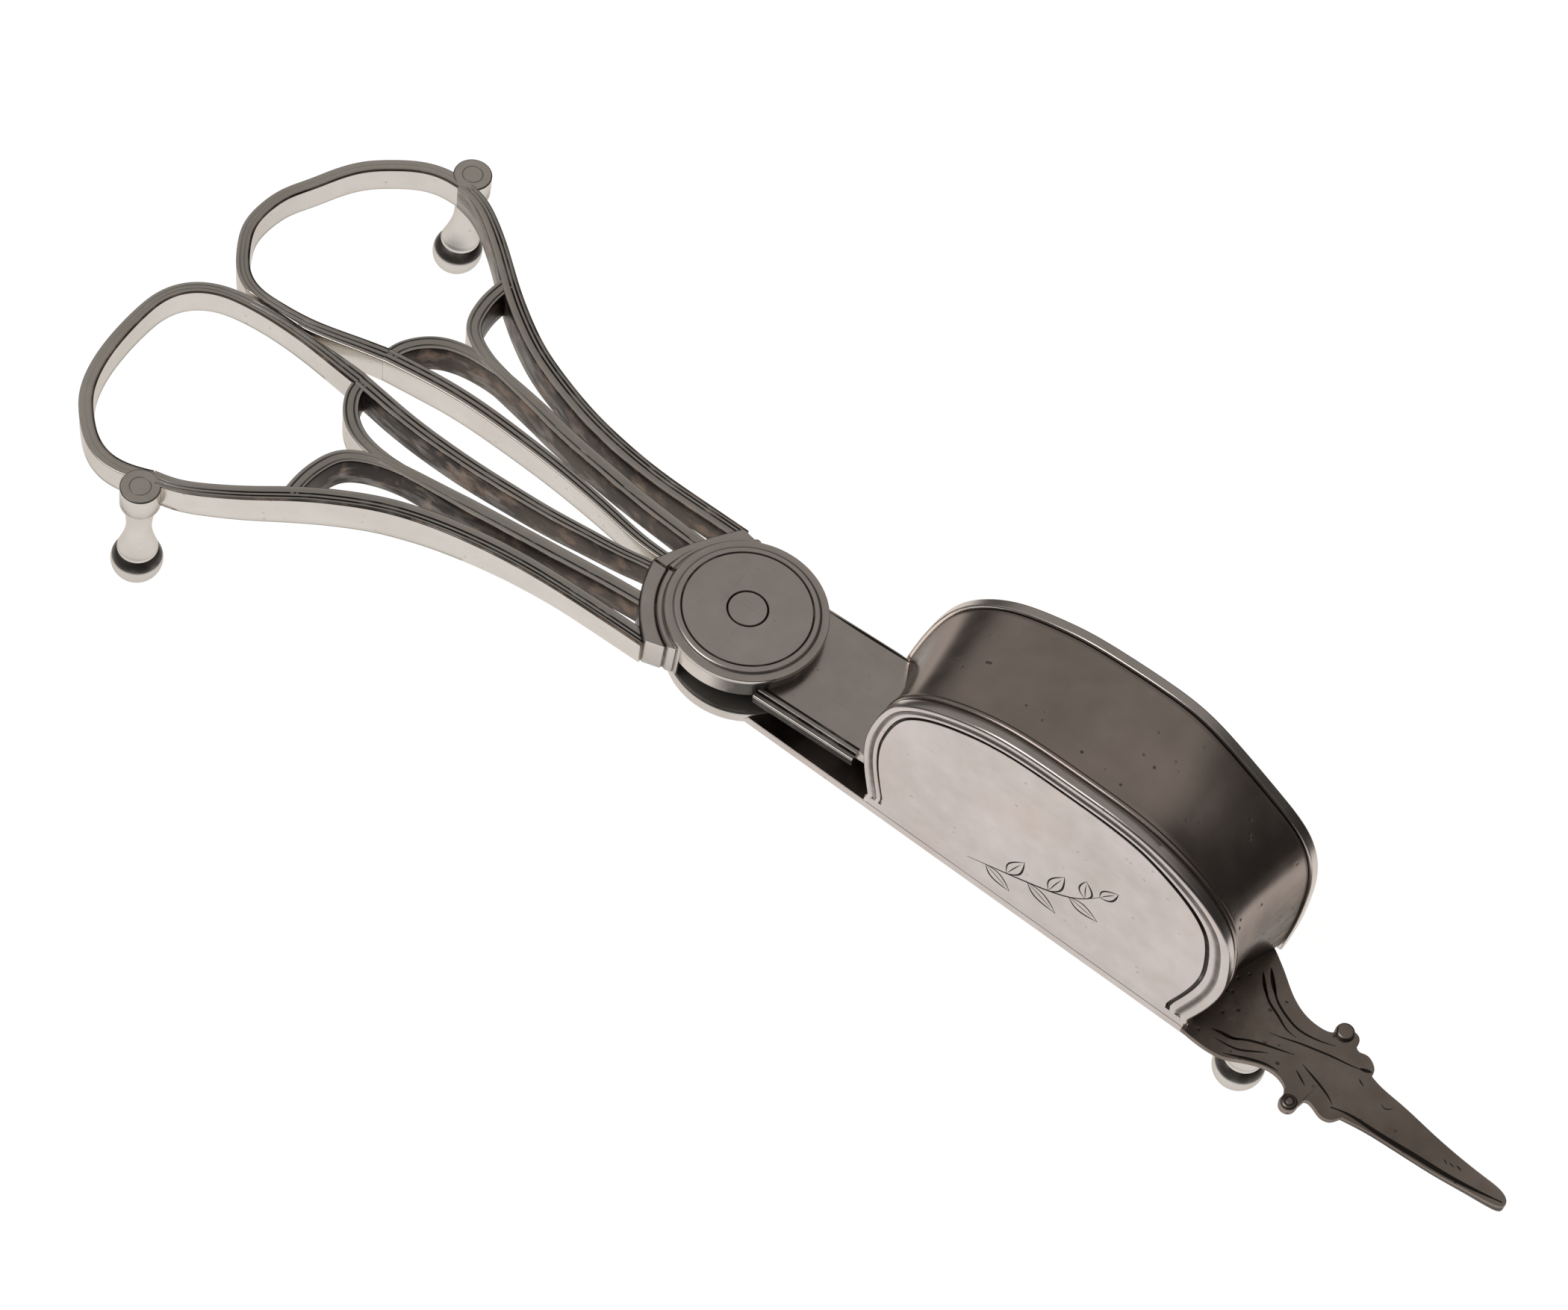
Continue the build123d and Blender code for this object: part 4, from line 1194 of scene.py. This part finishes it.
dress(make_point(), "box_arm", "dull_silver", "point")
point_foot = turn_piece("point_foot_silver", foot_profile(BASE_BOTTOM), POINT_FOOT_X, 0, HANDLE_SILVER)
dress(point_foot, "box_arm", "polished_silver", "point_foot")


# Engraving
STROKE_RISE = 0.012
POINT_STROKE = 1.25
STROKE_SECTION = plain_section([(-1.0, -0.4, 0), (-0.55, 1.0, 1), (0.55, 1.0, 1), (1.0, -0.4, 0)])


def stroke_run(line, half, face):
    """A graver's stroke: fine at both ends, lying flat on its face."""
    line = np.array([tuple(spot) for spot in line])
    along = headings(line)
    share = np.linspace(0, 1, len(line))
    swell = half * MM * np.clip(np.sin(math.pi * share), 0.12, 1) ** 0.6
    side = np.cross(along, np.array(face)) * swell[:, None]
    lift = np.tile(np.array(face) * STROKE_RISE * MM, (len(line), 1))
    return line, side, lift, np.ones(len(line))


POINT_LINES = {
    "far_outer": ([(69.0, 5.0), (70.1, 3.7), (71.4, 2.35), (73.4, 1.3), (75.1, 0.85), (76.4, 0.9),
                   (77.9, 1.25), (79.4, 1.8)], 0.14),
    "far_outer_root": ([(68.8, 5.2), (69.5, 4.35), (70.2, 3.55), (71.2, 2.55)], 0.24),
    "far_inner": ([(68.6, 3.9), (69.6, 2.7), (71.0, 1.5), (72.7, 0.7), (74.3, -0.05), (75.5, -0.15)], 0.14),
    "far_inner_root": ([(68.4, 4.2), (69.0, 3.4), (69.7, 2.6), (70.6, 1.85)], 0.2),
    "middle": ([(73.0, -1.55), (74.5, -1.1), (76.0, -0.55), (77.9, 0.0), (79.8, 0.5), (81.8, 0.9),
                (83.6, 1.4)], 0.12),
    "leaf_end": ([(82.9, 1.25), (83.6, 1.5), (84.2, 1.75)], 0.2),
    "near_inner": ([(68.1, -5.2), (69.0, -5.0), (70.0, -4.9), (70.8, -4.4), (72.3, -3.55), (73.7, -3.0),
                    (75.0, -2.55), (76.5, -2.0)], 0.14),
    "near_inner_root": ([(67.8, -5.3), (69.0, -5.0), (70.2, -4.75), (71.2, -4.15)], 0.2),
    "near_outer": ([(68.5, -6.0), (70.0, -5.85), (71.4, -5.5), (72.9, -4.55), (74.2, -3.7)], 0.12),
    "near_rim": ([(70.4, -6.95), (72.2, -6.05), (73.6, -5.4), (75.0, -4.95), (76.2, -4.85)], 0.16),
    "leaf_long": ([(77.8, -2.4), (79.5, -2.9), (80.9, -3.35), (82.1, -3.85), (82.9, -4.35)], 0.13),
    "leaf_short": ([(77.6, -3.4), (78.6, -3.95), (79.4, -4.4)], 0.1),
    "blade_edge": ([(82.9, -4.7), (84.4, -4.24), (87.9, -3.99), (93.1, -3.59), (96.7, -3.3),
                    (101.6, -2.45), (103.3, -2.05)], 0.28),
    "nick": ([(83.5, 0.2), (83.9, -0.05), (84.4, -0.25)], 0.08),
    "curved_scratch": ([(87.0, -0.75), (87.5, -0.98), (87.9, -0.85), (88.3, -0.35)], 0.06),
    "first_tip_nick": ([(95.7, -1.8), (96.0, -2.0), (96.3, -2.15)], 0.06),
    "second_tip_nick": ([(96.4, -1.8), (96.7, -1.9), (97.1, -1.95)], 0.06),
    "third_tip_nick": ([(97.2, -1.6), (97.6, -1.7), (97.9, -1.85)], 0.08),
}


def make_point_lines():
    runs = []
    for spots, half in POINT_LINES.values():
        line = [place(x, y, POINT_TOP) for x, y in smooth_line(spots, 24)]
        runs.append(stroke_run(line, half * POINT_STROKE, (0, 0, 1)))
    return draw_moulding("point_cut_lines", runs, STROKE_SECTION, GRAVER_BLACK)


dress(make_point_lines(), "box_arm", "dull_silver")


def make_neck_line():
    """Dark line along the neck's far edge."""
    line = [place(x, 7.16 + 0.058 * (x - 4.83), NECK_TOP) for x in np.linspace(6.5, 18.5, 25)]
    run = stroke_run(line, 0.2, (0, 0, 1))
    return draw_moulding("neck_cut_line", [run], STROKE_SECTION, GRAVER_BLACK)


dress(make_neck_line(), "presser_arm", "polished_silver")


def leaf_strokes(root, angle, length, fat):
    """Outline and vein of one engraved leaf, as lines on the panel."""
    def spot(along, across):
        return (root[0] + along * math.cos(angle) - across * math.sin(angle),
                root[1] + along * math.sin(angle) + across * math.cos(angle))
    upper = [spot(0, 0), spot(length * 0.35, fat), spot(length * 0.75, fat * 0.62), spot(length, 0)]
    lower = [spot(0, 0), spot(length * 0.35, -fat), spot(length * 0.75, -fat * 0.62), spot(length, 0)]
    vein = [spot(length * 0.05, 0), spot(length * 0.4, fat * 0.06), spot(length * 0.8, 0)]
    return [(upper, 0.12), (lower, 0.15), (vein, 0.08)]


SPRAY_LEVEL = 21.3


def make_spray():
    """Small engraved leaf spray in the middle of the panel."""
    stem = [(-8.2, -3.8), (-4.1, -2.2), (0.5, -0.3), (4.9, 2.4), (7.2, 5.4)]
    lines = [(stem, 0.14)]
    path = smooth_line(stem, 60)
    along = headings(path)
    for k, (share, length) in enumerate(((8, 4.0), (17, 4.4), (26, 4.6), (35, 4.5), (44, 4.0), (52, 3.2))):
        turn = math.atan2(along[share][1], along[share][0])
        hand = 1 if k % 2 else -1
        lines += leaf_strokes(path[share], turn + hand * 0.85, length, 0.8)
    lines += leaf_strokes(path[-1], math.atan2(along[-1][1], along[-1][0]), 3.3, 0.7)
    runs = []
    for spots, half in lines:
        line = [place(BOX_MIDDLE + x, PANEL_FACE, SPRAY_LEVEL + z) for x, z in smooth_line(spots, 16)]
        runs.append(stroke_run(line, half, (0, -1, 0)))
    return draw_moulding("panel_leaf_spray", runs, STROKE_SECTION, GRAVER_BLACK)


dress(make_spray(), "box_arm", "polished_silver")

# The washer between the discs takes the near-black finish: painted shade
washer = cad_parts["pivot_washer"]
washer.data.materials.clear()
washer.data.materials.append(SHADOWED_SILVER)


# Studio
TABLE_SEEN = (1.13, 1.13, 1.13, 1)
TABLE_IN_SILVER = (1.06, 1.05, 1.04, 1)
TABLE_FAR_OUT = (0.05, 0.047, 0.044, 1)
TABLE_GLOW = 0.86


def make_floor():
    """Wide pale table with the object's soft shadow: white to the eye, dark far out in the silver."""
    paper = bpy.data.materials.new("table_paper")
    paper.use_nodes = True
    tree = paper.node_tree
    shader = tree.nodes["Principled BSDF"]
    shader.inputs["Base Color"].default_value = (0.86, 0.855, 0.85, 1)
    shader.inputs["Roughness"].default_value = 0.9
    shader.inputs["Specular IOR Level"].default_value = 0.0
    path = tree.nodes.new("ShaderNodeLightPath")
    slant = tree.nodes.new("ShaderNodeLayerWeight")
    slant.inputs["Blend"].default_value = 0.5
    reflected = maths(tree, "ADD", path.outputs["Is Glossy Ray"], path.outputs["Is Transmission Ray"], True)
    far_out = maths(tree, "MULTIPLY", ramp(tree, slant.outputs["Facing"], 0.56, 0.74), reflected)
    glow = tree.nodes.new("ShaderNodeEmission")
    white = blend_colour(tree, path.outputs["Is Camera Ray"], TABLE_IN_SILVER, TABLE_SEEN)
    tree.links.new(blend_colour(tree, far_out, white, TABLE_FAR_OUT), glow.inputs["Color"])
    seen = maths(tree, "ADD", path.outputs["Is Camera Ray"], reflected, True)
    mix = tree.nodes.new("ShaderNodeMixShader")
    tree.links.new(maths(tree, "MULTIPLY", seen, TABLE_GLOW), mix.inputs[0])
    tree.links.new(shader.outputs[0], mix.inputs[1])
    tree.links.new(glow.outputs[0], mix.inputs[2])
    tree.links.new(mix.outputs[0], tree.nodes["Material Output"].inputs["Surface"])
    mesh = bpy.data.meshes.new("table")
    work = bmesh.new()
    bmesh.ops.create_grid(work, x_segments=4, y_segments=4, size=4)
    work.to_mesh(mesh)
    work.free()
    mesh.materials.append(paper)
    table = bpy.data.objects.new("table", mesh)
    bpy.context.scene.collection.objects.link(table)


ROOM_TILT = -0.45
# Height in the room, light there
ROOM_LEVELS = ((0.0, 0.04), (0.25, 0.05), (0.45, 0.13), (0.60, 0.27), (0.74, 0.33), (0.85, 0.335),
               (0.90, 0.33), (0.95, 0.318), (1.00, 0.325), (1.10, 0.33))


def set_world():
    """Dim room over the white table: a grey ceiling behind the handles, dark low down past the point."""
    world = bpy.data.worlds.new("studio_room")
    bpy.context.scene.world = world
    world.use_nodes = True
    tree = world.node_tree
    back = tree.nodes["Background"]
    coords = tree.nodes.new("ShaderNodeTexCoord").outputs["Generated"]
    parts = tree.nodes.new("ShaderNodeSeparateXYZ")
    tree.links.new(coords, parts.inputs[0])
    height = maths(tree, "ADD", parts.outputs["Z"], maths(tree, "MULTIPLY", parts.outputs["X"], ROOM_TILT))
    span = ROOM_LEVELS[-1][0]
    rise = tree.nodes.new("ShaderNodeValToRGB")
    while len(rise.color_ramp.elements) < len(ROOM_LEVELS):
        rise.color_ramp.elements.new(0.5)
    for element, (spot, level) in zip(rise.color_ramp.elements, ROOM_LEVELS):
        element.position = spot / span
        element.color = (level, level * 0.95, level * 0.90, 1)
    tree.links.new(maths(tree, "DIVIDE", height, span), rise.inputs[0])
    seen = tree.nodes.new("ShaderNodeLightPath").outputs["Is Camera Ray"]
    tree.links.new(blend_colour(tree, seen, rise.outputs[0], (1, 1, 1, 1)), back.inputs["Color"])


def add_lamp(name, spot, aim, size, power):
    data = bpy.data.lights.new(name, "AREA")
    data.shape = "DISK"
    data.size = size
    data.energy = power
    lamp = bpy.data.objects.new(name, data)
    lamp.location = spot
    lamp.rotation_euler = (Vector(aim) - Vector(spot)).to_track_quat("-Z", "Y").to_euler()
    bpy.context.scene.collection.objects.link(lamp)


make_floor()
set_world()
add_lamp("overhead_softbox", (-0.8, -1.3, 1.8), (0, 0, 0), 1.6, 14)
bpy.context.scene.view_settings.view_transform = "Standard"
